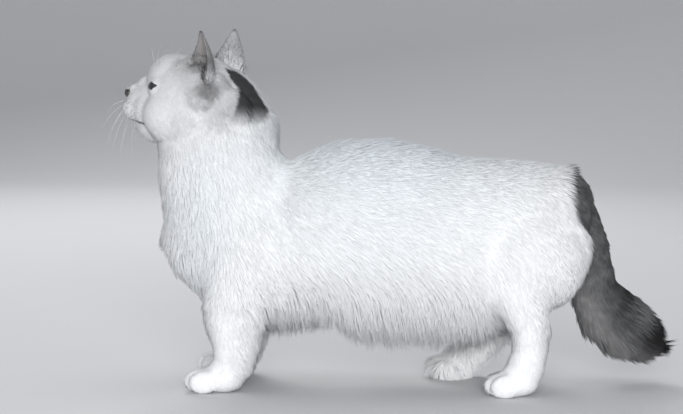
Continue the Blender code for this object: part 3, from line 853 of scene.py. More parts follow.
@dataclass(frozen=True)
class LeatherFinish:
    """Dark bare skin with a fine pebble grain: the nose and the rims of the lids."""

    name: str
    colour: Colour
    wet: float
    grain: float = 1500.0

    def make(self) -> bpy.types.Material:
        """Makes the leather's material."""
        board = Board(self.name, 0.48)
        place = board.place()
        sockets = {"Vector": place, "Scale": self.grain}
        pebble = board.add("ShaderNodeTexVoronoi", None, sockets, out="Distance")
        tone = board.noise(place, 400.0)
        colour = board.mix(tone * 0.6, self.colour, tuple(1.8 * part for part in self.colour))
        board.feed("Base Color", board.mix(pebble * 0.4, colour, (0.0, 0.0, 0.0)))
        board.feed("Roughness", tone * 0.2 + 0.36)
        board.feed("Coat Weight", self.wet)
        board.feed("Coat Roughness", 0.25)
        board.bump(1.0 - pebble, 0.00012)
        return board.material


@dataclass(frozen=True)
class WhiskerFinish:
    """Stiff pale hair, greyer where it leaves the skin."""

    name: str = "whisker_hair"
    pale: Colour = (0.62, 0.62, 0.62)
    grey: Colour = (0.42, 0.42, 0.42)

    def make(self) -> bpy.types.Material:
        """Makes the whiskers' material."""
        board = Board(self.name, 0.35)
        along = board.stored("along")
        board.feed("Base Color", board.mix(along.step(0.0, 0.5), self.grey, self.pale))
        return board.material


@dataclass(frozen=True)
class FloorFinish:
    """A pale matt floor with a faint mottle."""

    colour: Colour = (0.62, 0.62, 0.63)

    def make(self) -> bpy.types.Material:
        """Makes the floor's material."""
        board = Board("pale_floor", 0.75)
        cloud = board.noise(board.place(), 14.0, 5.0)
        light = tuple(1.06 * part for part in self.colour)
        board.feed("Base Color", board.mix(cloud * 0.3, self.colour, light))
        return board.material


@dataclass(frozen=True)
class LegForm:
    """One leg with its paw: its rings from the top down, and where its paw stands."""

    rings: tuple[Ring, ...]
    paw: Vector
    toe_reach: float

    @classmethod
    def fore(cls, side: Side, y: float, x: float) -> "LegForm":
        """A front leg."""
        y *= side.value
        rings = (
            Ring(x + 0.010, 0.098, 0.022, 0.034, y),
            Ring(x + 0.006, 0.074, 0.022, 0.027, y),
            Ring(x + 0.005, 0.052, 0.0200, 0.0222, y),
            Ring(x + 0.006, 0.036, 0.0175, 0.0185, y),
            Ring(x + 0.005, 0.022, 0.0162, 0.0165, y),
            Ring(x - 0.001, 0.012, 0.0150, 0.0160, y),
        )
        return cls(rings, Vector((x - 0.0080, y, 0.0)), 0.0235)

    @classmethod
    def hind(cls, side: Side, y: float, x: float, lean: float) -> "LegForm":
        """A hind leg, whose thigh stands behind its heel by lean."""
        y *= side.value
        rings = (
            Ring(x - 0.008 + lean, 0.090, 0.028, 0.038, y),
            Ring(x - 0.001 + lean, 0.068, 0.023, 0.0225, y),
            Ring(x + 0.004 + 0.8 * lean, 0.052, 0.0180, 0.0165, y),
            Ring(x + 0.004 + 0.45 * lean, 0.036, 0.0158, 0.0150, y),
            Ring(x + 0.001 + 0.15 * lean, 0.022, 0.0155, 0.0158, y),
            Ring(x - 0.004, 0.012, 0.0150, 0.0160, y),
        )
        return cls(rings, Vector((x - 0.0110, y, 0.0)), 0.0185)

    def add_to(self, shape: bmesh.types.BMesh, coats: Sequence[float], paw_coat: float) -> None:
        """Adds the leg and its paw.

        Args:
            shape: The mesh that they go in.
            coats: The coat's depth at each of the leg's rings.
            paw_coat: The coat's depth on the paw.
        """
        add_tube(shape, self.rings, coats)
        heel = Blob((self.paw.x + 0.004, self.paw.y, 0.0100), (0.0190, 0.0160, 0.0120), paw_coat)
        add_blob(shape, heel)
        for spread in (-1.5, -0.5, 0.5, 1.5):
            reach = self.toe_reach - (0.0 if abs(spread) < 1.0 else 0.0050)
            middle = (self.paw.x - reach + 0.0105, self.paw.y + spread * 0.0078, 0.0085)
            add_blob(shape, Blob(middle, (0.0125, 0.0060, 0.0100), 0.8 * paw_coat, -8.0), segments=20)


@dataclass(frozen=True)
class BodyForm:
    """The body's volumes with their coat, before the cat is centred."""

    trunk: tuple[Ring, ...] = (
        Ring(-0.173, 0.142, 0.016, 0.014),
        Ring(-0.166, 0.136, 0.030, 0.031),
        Ring(-0.150, 0.124, 0.043, 0.044),
        Ring(-0.125, 0.106, 0.052, 0.050),
        Ring(-0.098, 0.0960, 0.056, 0.0450),
        Ring(-0.086, 0.1010, 0.058, 0.0510),
        Ring(-0.068, 0.1165, 0.061, 0.0665),
        Ring(-0.039, 0.1215, 0.064, 0.0745),
        Ring(-0.012, 0.1220, 0.066, 0.0762),
        Ring(0.018, 0.1185, 0.066, 0.0740),
        Ring(0.043, 0.1145, 0.065, 0.0705),
        Ring(0.070, 0.1140, 0.063, 0.0695),
        Ring(0.098, 0.1195, 0.060, 0.0655),
        Ring(0.120, 0.1295, 0.054, 0.0545),
        Ring(0.135, 0.1340, 0.045, 0.0435),
        Ring(0.145, 0.1340, 0.032, 0.0300),
        Ring(0.151, 0.1340, 0.014, 0.0130),
    )
    neck: tuple[Ring, ...] = (
        Ring(-0.117, 0.082, 0.038, 0.030),
        Ring(-0.119, 0.100, 0.044, 0.045),
        Ring(-0.122, 0.124, 0.047, 0.0560),
        Ring(-0.1290, 0.150, 0.046, 0.0535),
        Ring(-0.1385, 0.176, 0.044, 0.0475),
        Ring(-0.1400, 0.202, 0.042, 0.0480),
        Ring(-0.1435, 0.222, 0.036, 0.0400),
        Ring(-0.1440, 0.238, 0.028, 0.0310),
        Ring(-0.1445, 0.248, 0.014, 0.0160),
    )
    tail: tuple[Ring, ...] = (
        Ring(0.1180, 0.1620, 0.0105, 0.0105),
        Ring(0.1275, 0.1630, 0.0133, 0.0133),
        Ring(0.1350, 0.1535, 0.0150, 0.0150),
        Ring(0.1415, 0.1342, 0.0160, 0.0160, 0.001),
        Ring(0.1480, 0.1146, 0.0172, 0.0172, 0.003),
        Ring(0.1510, 0.0962, 0.0182, 0.0185, 0.007),
        Ring(0.1545, 0.0783, 0.0206, 0.0208, 0.012),
        Ring(0.1624, 0.0622, 0.0250, 0.0255, 0.017),
        Ring(0.1768, 0.0467, 0.0265, 0.0270, 0.022),
        Ring(0.1892, 0.0378, 0.0225, 0.0228, 0.026),
        Ring(0.1985, 0.0325, 0.0145, 0.0145, 0.028),
        Ring(0.2035, 0.0302, 0.0060, 0.0060, 0.029),
    )
    sides: tuple[Blob, ...] = (
        Blob((-0.113, 0.036, 0.108), (0.036, 0.024, 0.050), 0.0065, 10.0),
        Blob((0.0980, 0.034, 0.106), (0.0540, 0.0335, 0.047), 0.0065, 8.0),
        Blob((0.1270, 0.0260, 0.1120), (0.0285, 0.0270, 0.0340), 0.0065),
    )
    legs: tuple[LegForm, ...] = (
        LegForm.fore(Side.LEFT, 0.042, -0.1270),
        LegForm.fore(Side.RIGHT, 0.038, -0.1300),
        LegForm.hind(Side.LEFT, 0.041, 0.1015, 0.000),
        LegForm.hind(Side.RIGHT, 0.039, 0.0560, 0.028),
    )
    trunk_coats: tuple[float, ...] = (0.0065,)
    neck_coats: tuple[float, ...] = (0.0030, 0.0020, 0.0012)
    tail_coats: tuple[float, ...] = (
        0.0040, 0.0030, 0.0028, 0.0028, 0.0030, 0.0040, 0.0060, 0.0085, 0.0095
    )
    leg_coats: tuple[float, ...] = (0.0100, 0.0055, 0.0030, 0.0024, 0.0020, 0.0016)
    paw_coat: float = 0.0012
    voxel: float = 0.0022

    @staticmethod
    def above_paws(point: Vector) -> bool:
        """Whether a point lies above the paws."""
        return point.z > 0.030

    @staticmethod
    def above_legs(point: Vector) -> bool:
        """Whether a point lies above the legs and before the tail."""
        return point.z > 0.062 and point.x < 0.128

    @staticmethod
    def over_shoulder(point: Vector) -> bool:
        """Whether a point lies on a shoulder, where neck, leg and flank meet."""
        return abs(point.y) > 0.013 and 0.072 < point.z < 0.205 and -0.165 < point.x < -0.035


@dataclass(frozen=True)
class HeadForm:
    """The head's volumes with their coat, in the head's frame.

    Each row of smoothing is a number of passes, over what lies behind one place and below one height.
    """

    muzzle: tuple[Ring, ...] = (
        Ring(0.010, 0.000, 0.0320, 0.0300),
        Ring(-0.010, -0.0010, 0.0280, 0.0270),
        Ring(-0.026, -0.0062, 0.0200, 0.0190),
        Ring(-0.036, -0.0125, 0.0145, 0.0150),
        Ring(-0.0435, -0.0155, 0.0118, 0.0116),
        Ring(-0.0485, -0.0172, 0.0080, 0.0072),
    )
    middle: tuple[Blob, ...] = (
        Blob((0.006, 0.0, 0.002), (0.042, 0.036, 0.0350), 0.0012),
        Blob((-0.0175, 0.0, 0.0100), (0.0215, 0.0250, 0.0220), 0.0008),
        Blob((-0.0315, 0.0, -0.0050), (0.0160, 0.0110, 0.0120), 0.0008, 30.0),
        Blob((-0.0440, 0.0, -0.0085), (0.0085, 0.0070, 0.0068), 0.0006, 30.0),
        Blob((-0.0215, 0.0, -0.0285), (0.0180, 0.0165, 0.0140), 0.0010),
        Blob((-0.0335, 0.0, -0.0308), (0.0082, 0.0088, 0.0076), 0.0008),
        Blob((0.0300, 0.0, -0.0040), (0.0310, 0.0290, 0.0300), 0.0060),
    )
    sides: tuple[Blob, ...] = (
        Blob((-0.0388, 0.0070, -0.0205), (0.0124, 0.0098, 0.0098), 0.0010),
        Blob((-0.0250, 0.0100, -0.0175), (0.0170, 0.0125, 0.0140), 0.0012),
        Blob((-0.0050, 0.0180, -0.0150), (0.0260, 0.0180, 0.0225), 0.0020),
        Blob((0.0120, 0.0225, -0.0150), (0.0260, 0.0190, 0.0260), 0.0040),
        Blob((-0.0200, 0.0130, 0.0140), (0.0120, 0.0090, 0.0080), 0.0012),
        Blob((0.0140, 0.0210, 0.0150), (0.0230, 0.0160, 0.0180), 0.0014),
        Blob((0.0165, 0.0310, 0.0120), (0.0125, 0.0090, 0.0140), 0.0010),
        Blob((0.0330, 0.0200, 0.0060), (0.0275, 0.0170, 0.0225), 0.0060),
    )
    muzzle_coat: float = 0.0012
    voxel: float = 0.0011
    mouth: tuple[Point, ...] = (
        (-0.0530, 0.0004, -0.0155),
        (-0.0490, 0.0006, -0.0270),
        (-0.0425, 0.0065, -0.0292),
        (-0.0350, 0.0125, -0.0285),
        (-0.0255, 0.0180, -0.0266),
    )
    groove: float = 0.0008
    smoothing: tuple[tuple[int, float, float], ...] = (
        (5, -0.048, -0.004),
        (40, -0.038, -0.006),
        (16, -0.022, math.inf),
        (30, -0.002, math.inf),
    )
    nose: Blob = Blob((-0.0500, 0.0, -0.0108), (0.0045, 0.0056, 0.0042), 0.0, 30.0)
    nostril: tuple[Point, ...] = (
        (-0.0560, 0.0022, -0.0126),
        (-0.0535, 0.0028, -0.0116),
        (-0.0505, 0.0058, -0.0102),
    )


BODY_FORM = BodyForm()
HEAD_FORM = HeadForm()


@dataclass
class Surface:
    """A triangulated surface as arrays, for rooting tufts."""

    corners: Array
    normals: Array
    maps: Array
    areas: Array

    @classmethod
    def of(cls, piece: bpy.types.Object) -> "Surface":
        """Reads a piece's triangles, smooth normals and UV map."""
        mesh = piece.data
        mesh.calc_loop_triangles()
        count = len(mesh.loop_triangles)
        places = np.empty(len(mesh.vertices) * 3)
        mesh.vertices.foreach_get("co", places)
        smooth = np.empty(len(mesh.vertices) * 3)
        mesh.vertices.foreach_get("normal", smooth)
        verts = np.empty(count * 3, np.int64)
        mesh.loop_triangles.foreach_get("vertices", verts)
        loops = np.empty(count * 3, np.int64)
        mesh.loop_triangles.foreach_get("loops", loops)
        maps = np.empty(len(mesh.loops) * 2)
        mesh.uv_layers[BAKE_MAP].data.foreach_get("uv", maps)
        corners = places.reshape(-1, 3)[verts].reshape(-1, 3, 3)
        normals = smooth.reshape(-1, 3)[verts].reshape(-1, 3, 3)
        maps = maps.reshape(-1, 2)[loops].reshape(-1, 3, 2)
        across = np.cross(corners[:, 1] - corners[:, 0], corners[:, 2] - corners[:, 0])
        return cls(corners, normals, maps, np.linalg.norm(across, axis=1) / 2.0)

    def scatter(
        self, weights: Array, count: int, dice: np.random.Generator
    ) -> tuple[Array, Array, Array]:
        """Spreads points over the triangles, evenly for their weight.

        Args:
            weights: How many points each triangle's area draws, as a share.
            count: How many points there are in all.
            dice: The seeded draw.

        Returns:
            The points' places, normals and places on the UV map.
        """
        total = np.cumsum(self.areas * weights)
        draws = (np.arange(count) + dice.random(count)) / count * total[-1]
        chosen = np.minimum(np.searchsorted(total, draws), len(total) - 1)
        first = np.sqrt(dice.random(count))
        second = dice.random(count)
        shares = np.stack((1.0 - first, first * (1.0 - second), first * second), axis=1)[:, :, None]
        places = (self.corners[chosen] * shares).sum(axis=1)
        normals = unit((self.normals[chosen] * shares).sum(axis=1))
        return places, normals, (self.maps[chosen] * shares).sum(axis=1)


def unit(vectors: Array) -> Array:
    """Vectors of length 1, row by row."""
    return vectors / np.maximum(np.linalg.norm(vectors, axis=-1, keepdims=True), 1e-12)


def moved(points: Array, frame: Matrix) -> Array:
    """Points taken through a matrix, row by row."""
    grid = np.array(frame)
    return points @ grid[:3, :3].T + grid[:3, 3]


def turned(vectors: Array, frame: Matrix) -> Array:
    """Directions taken through a matrix's turn, row by row."""
    return vectors @ np.array(frame)[:3, :3].T


def rise(values: Array, low: float, high: float) -> Array:
    """A smooth rise from 0 at low to 1 at high."""
    share = np.clip((values - low) / (high - low), 0.0, 1.0)
    return share * share * (3.0 - 2.0 * share)


class Skin:
    """The skin: one closed surface that stands for every node of flesh."""

    def __init__(self, centring: Centring) -> None:
        """Keeps where the cat stands."""
        self.centring = centring
        self.tools = hidden_collection("skin_tools")
        self.piece = self._build()
        self.tree = self._search_tree()

    def _build(self) -> bpy.types.Object:
        """Models the skin.

        Returns:
            The finished skin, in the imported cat's place.
        """
        body = self._body()
        head = self._head()
        for side in Side:
            combine(head, self._ear_shell(side), "UNION")
        combine(body, head, "UNION")
        near_neck = (HEAD.matrix() @ Vector((0.012, 0.0, -0.022))).z
        soften(body, 8, lambda point: abs(point.z - near_neck) < 0.020 and point.x > -0.182)
        for side in Side:
            for cutter in (self._lid_opening(side), self._socket(side)):
                combine(body, cutter, "DIFFERENCE")
        combine(body, self._mouth_cutter(), "DIFFERENCE")
        body.data.transform(self.centring.body())
        body.name = body.data.name = "skin"
        self._flatten_soles(body)
        self._unwrap(body)
        self._mark(body)
        smooth_faces(body)
        return body

    def _body(self) -> bpy.types.Object:
        """The body, legs and tail without their coat."""
        form = BODY_FORM
        shape = bmesh.new()
        add_tube(shape, form.trunk, form.trunk_coats)
        add_tube(shape, form.neck, form.neck_coats)
        add_tube(shape, form.tail, form.tail_coats, sides=24)
        for side in Side:
            for blob in form.sides:
                add_blob(shape, blob, side.value)
        for leg in form.legs:
            leg.add_to(shape, form.leg_coats, form.paw_coat)
        body = add_object("skin_body", shape)
        fuse(body, form.voxel)
        soften(body, 2)
        soften(body, 8, form.above_paws)
        soften(body, 34, form.above_legs)
        soften(body, 110, form.over_shoulder)
        return body

    def _head(self) -> bpy.types.Object:
        """The head without its ears and its coat."""
        form = HEAD_FORM
        shape = bmesh.new()
        add_tube(shape, form.muzzle, (form.muzzle_coat,))
        for blob in form.middle:
            add_blob(shape, blob)
        for side in Side:
            for blob in form.sides:
                add_blob(shape, blob, side.value)
            lid = (EYE.radius + EYE.lid,) * 3
            add_blob(shape, Blob(tuple(EYE.middle), lid, 0.0), side.value)
        bmesh.ops.transform(shape, matrix=HEAD.matrix(), verts=shape.verts)
        head = add_object("skin_head", shape)
        fuse(head, form.voxel)
        inverse = HEAD.matrix().inverted()
        soften(head, 5)
        for passes, behind, below in form.smoothing:

            def within(point: Vector) -> bool:
                """Whether a point lies behind the one place and below the other."""
                own = inverse @ point
                return own.x > behind and own.z < below

            soften(head, passes, within)
        return head

    def _ear_shell(self, side: Side) -> bpy.types.Object:
        """One ear's thin cup, sunk a little into the head."""
        root, tip = EAR.ends(side)
        height = (tip - root).length
        shape = bmesh.new()
        bmesh.ops.create_grid(shape, x_segments=28, y_segments=26, size=1.0)
        for vert in shape.verts:
            share = (vert.co.y + 1.0) / 2.0
            wrap = (EAR.curl_low + (EAR.curl_high - EAR.curl_low) * share) * vert.co.x
            radius = EAR.half_width * (1.0 - share**1.3) ** 0.8 * min(1.0, 0.72 + share) + EAR.wall
            bow = 0.0035 * math.sin(math.pi * share)
            depth = radius * (1.0 - math.cos(wrap)) - bow - 0.010 * (1.0 - share)
            vert.co = Vector((-depth, radius * math.sin(wrap), (share * 1.03 - 0.045) * height))
        shell = add_object("ear_shell", shape)
        wall = shell.modifiers.new("wall", "SOLIDIFY")
        wall.thickness = EAR.wall
        wall.offset = 0.0
        apply_modifiers(shell)
        shell.data.transform(HEAD.matrix() @ EAR.matrix(side))
        return shell

    def _lid_opening(self, side: Side) -> bpy.types.Object:
        """A lens-shaped bar that cuts the opening between the lids."""
        shape = bmesh.new()
        outline = [shape.verts.new((0.0, y, z)) for y, z in lid_outline(10)]
        made = bmesh.ops.extrude_face_region(shape, geom=[shape.faces.new(outline)])
        far = [item for item in made["geom"] if isinstance(item, bmesh.types.BMVert)]
        bmesh.ops.translate(shape, verts=far, vec=(-0.03, 0.0, 0.0))
        bmesh.ops.transform(shape, matrix=HEAD.matrix() @ EYE.matrix(side), verts=shape.verts)
        return add_object("lid_opening", shape, self.tools)

    def _socket(self, side: Side) -> bpy.types.Object:
        """The ball that clears room for the eye."""
        shape = bmesh.new()
        ball = Blob(tuple(EYE.middle), (EYE.radius + 0.0001,) * 3, 0.0)
        add_blob(shape, ball, side.value, segments=40)
        bmesh.ops.transform(shape, matrix=HEAD.matrix(), verts=shape.verts)
        return add_object("socket", shape, self.tools)

    def _mouth_cutter(self) -> bpy.types.Object:
        """A rounded bar along the mouth's line from corner to corner, half sunk in the face."""
        tree = BVHTree.FromPolygons(*mesh_lists(bpy.data.objects["skin_body"]))
        shape = bmesh.new()
        for side in Side:
            points = []
            for point in mouth_line(side):
                on_face, _, _, _ = tree.find_nearest(HEAD.matrix() @ point)
                points.append(on_face)
            thread(shape, points, [HEAD_FORM.groove] * len(points), sides=8)
        cutter = add_object("mouth_cutter", shape, self.tools)
        fuse(cutter, 0.00035)
        return cutter

    @staticmethod
    def _flatten_soles(body: bpy.types.Object) -> None:
        """Cuts the skin off just above the floor."""
        shape = bmesh.new()
        shape.from_mesh(body.data)
        cut_flat(shape, (0.0, 0.0, 0.0004), (0.0, 0.0, -1.0))
        shape.to_mesh(body.data)
        shape.free()

    @staticmethod
    def _unwrap(body: bpy.types.Object) -> None:
        """Unwraps the skin by the way its faces look."""
        body.data.uv_layers.new(name=BAKE_MAP)
        bpy.context.view_layer.objects.active = body
        body.select_set(True)
        bpy.ops.object.mode_set(mode="EDIT")
        bpy.ops.mesh.select_all(action="SELECT")
        bpy.ops.uv.smart_project(angle_limit=math.radians(66.0), island_margin=0.002)
        bpy.ops.object.mode_set(mode="OBJECT")
        body.select_set(False)

    def _mark(self, body: bpy.types.Object) -> None:
        """Stores where the tail, the ears' cups and the bare lips and lid rims are."""
        places = np.array([vert.co for vert in body.data.vertices])
        smooth = np.array([vert.normal for vert in body.data.vertices])
        tail, under = tail_shares(places, self.centring)
        cup = np.zeros(len(places))
        lip = np.zeros(len(places))
        local = moved(places, self.centring.head().inverted())
        for side in Side:
            height, inward = ear_shares(places, smooth, side, self.centring)
            cup = np.maximum(cup, rise(height, 0.25, 0.40) * rise(inward, 0.0, 0.3))
            middle = np.array(EYE.matrix(side).translation)
            far = np.linalg.norm(local - middle, axis=1)
            lip = np.maximum(lip, 1.0 - rise(far, EYE.radius + 0.0002, EYE.radius + 0.0006))
            line = np.array(mouth_line(side))
            gap = np.linalg.norm(local[:, None, :] - line[None, :, :], axis=2).min(axis=1)
            lip = np.maximum(lip, 1.0 - rise(gap, 0.0009, 0.0016))
        for name, values in (("tail", tail), ("under", under), ("cup", cup), ("lip", lip)):
            store(body.data, name, values)

    def _search_tree(self) -> BVHTree:
        """A search tree over the finished skin."""
        return BVHTree.FromPolygons(*mesh_lists(self.piece))

    def dress(self) -> None:
        """Gives the skin its finish, and puts it in place of the flesh."""
        self.piece.data.materials.clear()
        self.piece.data.materials.append(SkinFinish().make(self.centring.head()))
        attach(self.piece, BODY)
        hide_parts(*FLESH)


def mesh_lists(piece: bpy.types.Object) -> tuple[list[Vector], list[tuple[int, ...]]]:
    """A piece's vertices and faces as lists."""
    mesh = piece.data
    return [vert.co.copy() for vert in mesh.vertices], [tuple(face.vertices) for face in mesh.polygons]


def smooth_line(points: Sequence[Vector], steps: int) -> list[Vector]:
    """A rounder line through points.

    Args:
        points: The points that it passes.
        steps: How many pieces each stretch is cut into.

    Returns:
        The finer line's points.
    """
    made = []
    last = len(points) - 1
    for index in range(last):
        before, first = points[max(index - 1, 0)], points[index]
        second, after = points[index + 1], points[min(index + 2, last)]
        for step in range(steps):
            share = step / steps
            pull = (second - before) * 0.5
            push = (after - first) * 0.5
            square, cube = share * share, share**3
            spot = first * (2 * cube - 3 * square + 1) + second * (3 * square - 2 * cube)
            made.append(spot + pull * (cube - 2 * square + share) + push * (cube - square))
    made.append(points[-1].copy())
    return made


def mouth_line(side: Side) -> list[Vector]:
    """The mouth's line on one side, in the head's frame."""
    line = smooth_line([Vector(place) for place in HEAD_FORM.mouth], 6)
    return [side.mirrored(point) for point in line]


def lid_outline(steps: int) -> list[tuple[float, float]]:
    """The opening between the lids, as points across the way the eye looks.

    Args:
        steps: How many points each lid has.

    Returns:
        The outline's Y and Z in the eye's frame.
    """
    arc = (EYE.half_width**2 + EYE.half_height**2) / (2.0 * EYE.half_height)
    sweep = math.asin(EYE.half_width / arc)
    outline = []
    for bow in (1.0, -1.0):
        for step in range(steps):
            angle = bow * sweep * (1.0 - 2.0 * step / steps)
            height = bow * (arc * math.cos(angle) - (arc - EYE.half_height))
            outline.append((arc * math.sin(angle), height))
    return outline


def nearest_on_tail(raw: Array) -> tuple[Array, Array, Array]:
    """Finds each point's place on the tail's middle line.

    Args:
        raw: Points in the uncentred cat's frame.

    Returns:
        The line's points, how far each point is from the line, and the number of the nearest one.
    """
    line = np.array(smooth_line([Vector((ring.x, ring.y, ring.z)) for ring in BODY_FORM.tail], 4))
    gaps = np.linalg.norm(raw[:, None, :] - line[None, :, :], axis=2)
    return line, gaps.min(axis=1), gaps.argmin(axis=1)


def tail_shares(places: Array, centring: Centring) -> tuple[Array, Array]:
    """How far points belong to the tail, and to its paler underside.

    Args:
        places: Points on the skin.
        centring: Where the cat stands.

    Returns:
        Two shares from 0 to 1 for each point.
    """
    raw = places - np.array(centring.shift)
    line, far, nearest = nearest_on_tail(raw)
    wide = 0.016 + 0.016 * rise(raw[:, 2], 0.118, 0.135)
    share = 1.0 - rise(far - wide, 0.0, 0.005)
    heights = (0.090, 0.120, 0.132, 0.145, 0.167)
    border = np.interp(raw[:, 2], heights, (0.128, 0.146, 0.142, 0.134, 0.129))
    share *= rise(raw[:, 0] - border, -0.003, 0.003)
    away = raw - line[nearest]
    below = -0.70 * away[:, 0] - 0.55 * away[:, 2] - 0.25 * away[:, 1]
    under = rise(below, -0.002, 0.012) * rise(nearest / len(line), 0.35, 0.55)
    return share, under


def ear_shares(places: Array, normals: Array, side: Side, centring: Centring) -> tuple[Array, Array]:
    """Where points lie on one ear.

    Args:
        places: Points on the skin.
        normals: The skin's normals there.
        side: Which ear.
        centring: Where the cat stands.

    Returns:
        The height as a share of the ear's, or 0 off it, and how far each faces into the cup.
    """
    frame = centring.head() @ EAR.matrix(side)
    root, tip = EAR.ends(side)
    own = moved(places, frame.inverted())
    height = own[:, 2] / (tip - root).length
    near = (np.abs(own[:, 1]) < EAR.half_width + 0.004) & (own[:, 0] < 0.014) & (own[:, 0] > -0.034)
    facing = turned(normals, frame.inverted())
    middle = np.stack((np.full(len(own), -0.010), np.zeros(len(own))), axis=1)
    inward = ((middle - own[:, :2]) * facing[:, :2]).sum(axis=1) / 0.010
    return np.where(near, height, 0.0), inward


def head_gap(local: Array) -> Array:
    """How far points in the head's frame are from its middle, where the muzzle counts as near."""
    stretch = np.ones_like(local)
    stretch[:, 0] = np.where(local[:, 0] < 0.0, 0.70, 0.95)
    stretch[:, 2] = 1.1
    return np.linalg.norm(local * stretch, axis=1)


class Lay(NamedTuple):
    """How the coat lies round one place: way, length, lift in degrees, width, density and clumping."""

    place: Point
    way: Point
    length: float
    lift: float
    width: float
    density: float
    clump: float
    reach: float


def lays(reach: float, *rows: tuple) -> tuple[Lay, ...]:
    """Several places of one reach.

    Args:
        reach: How far each place's say goes.
        rows: Each place, way, length in millimetres, lift, width in millimetres, density and clumping.

    Returns:
        The places.
    """
    return tuple(
        Lay(place, way, length / 1000.0, lift, width / 1000.0, density, clump, reach)
        for place, way, length, lift, width, density, clump in rows
    )


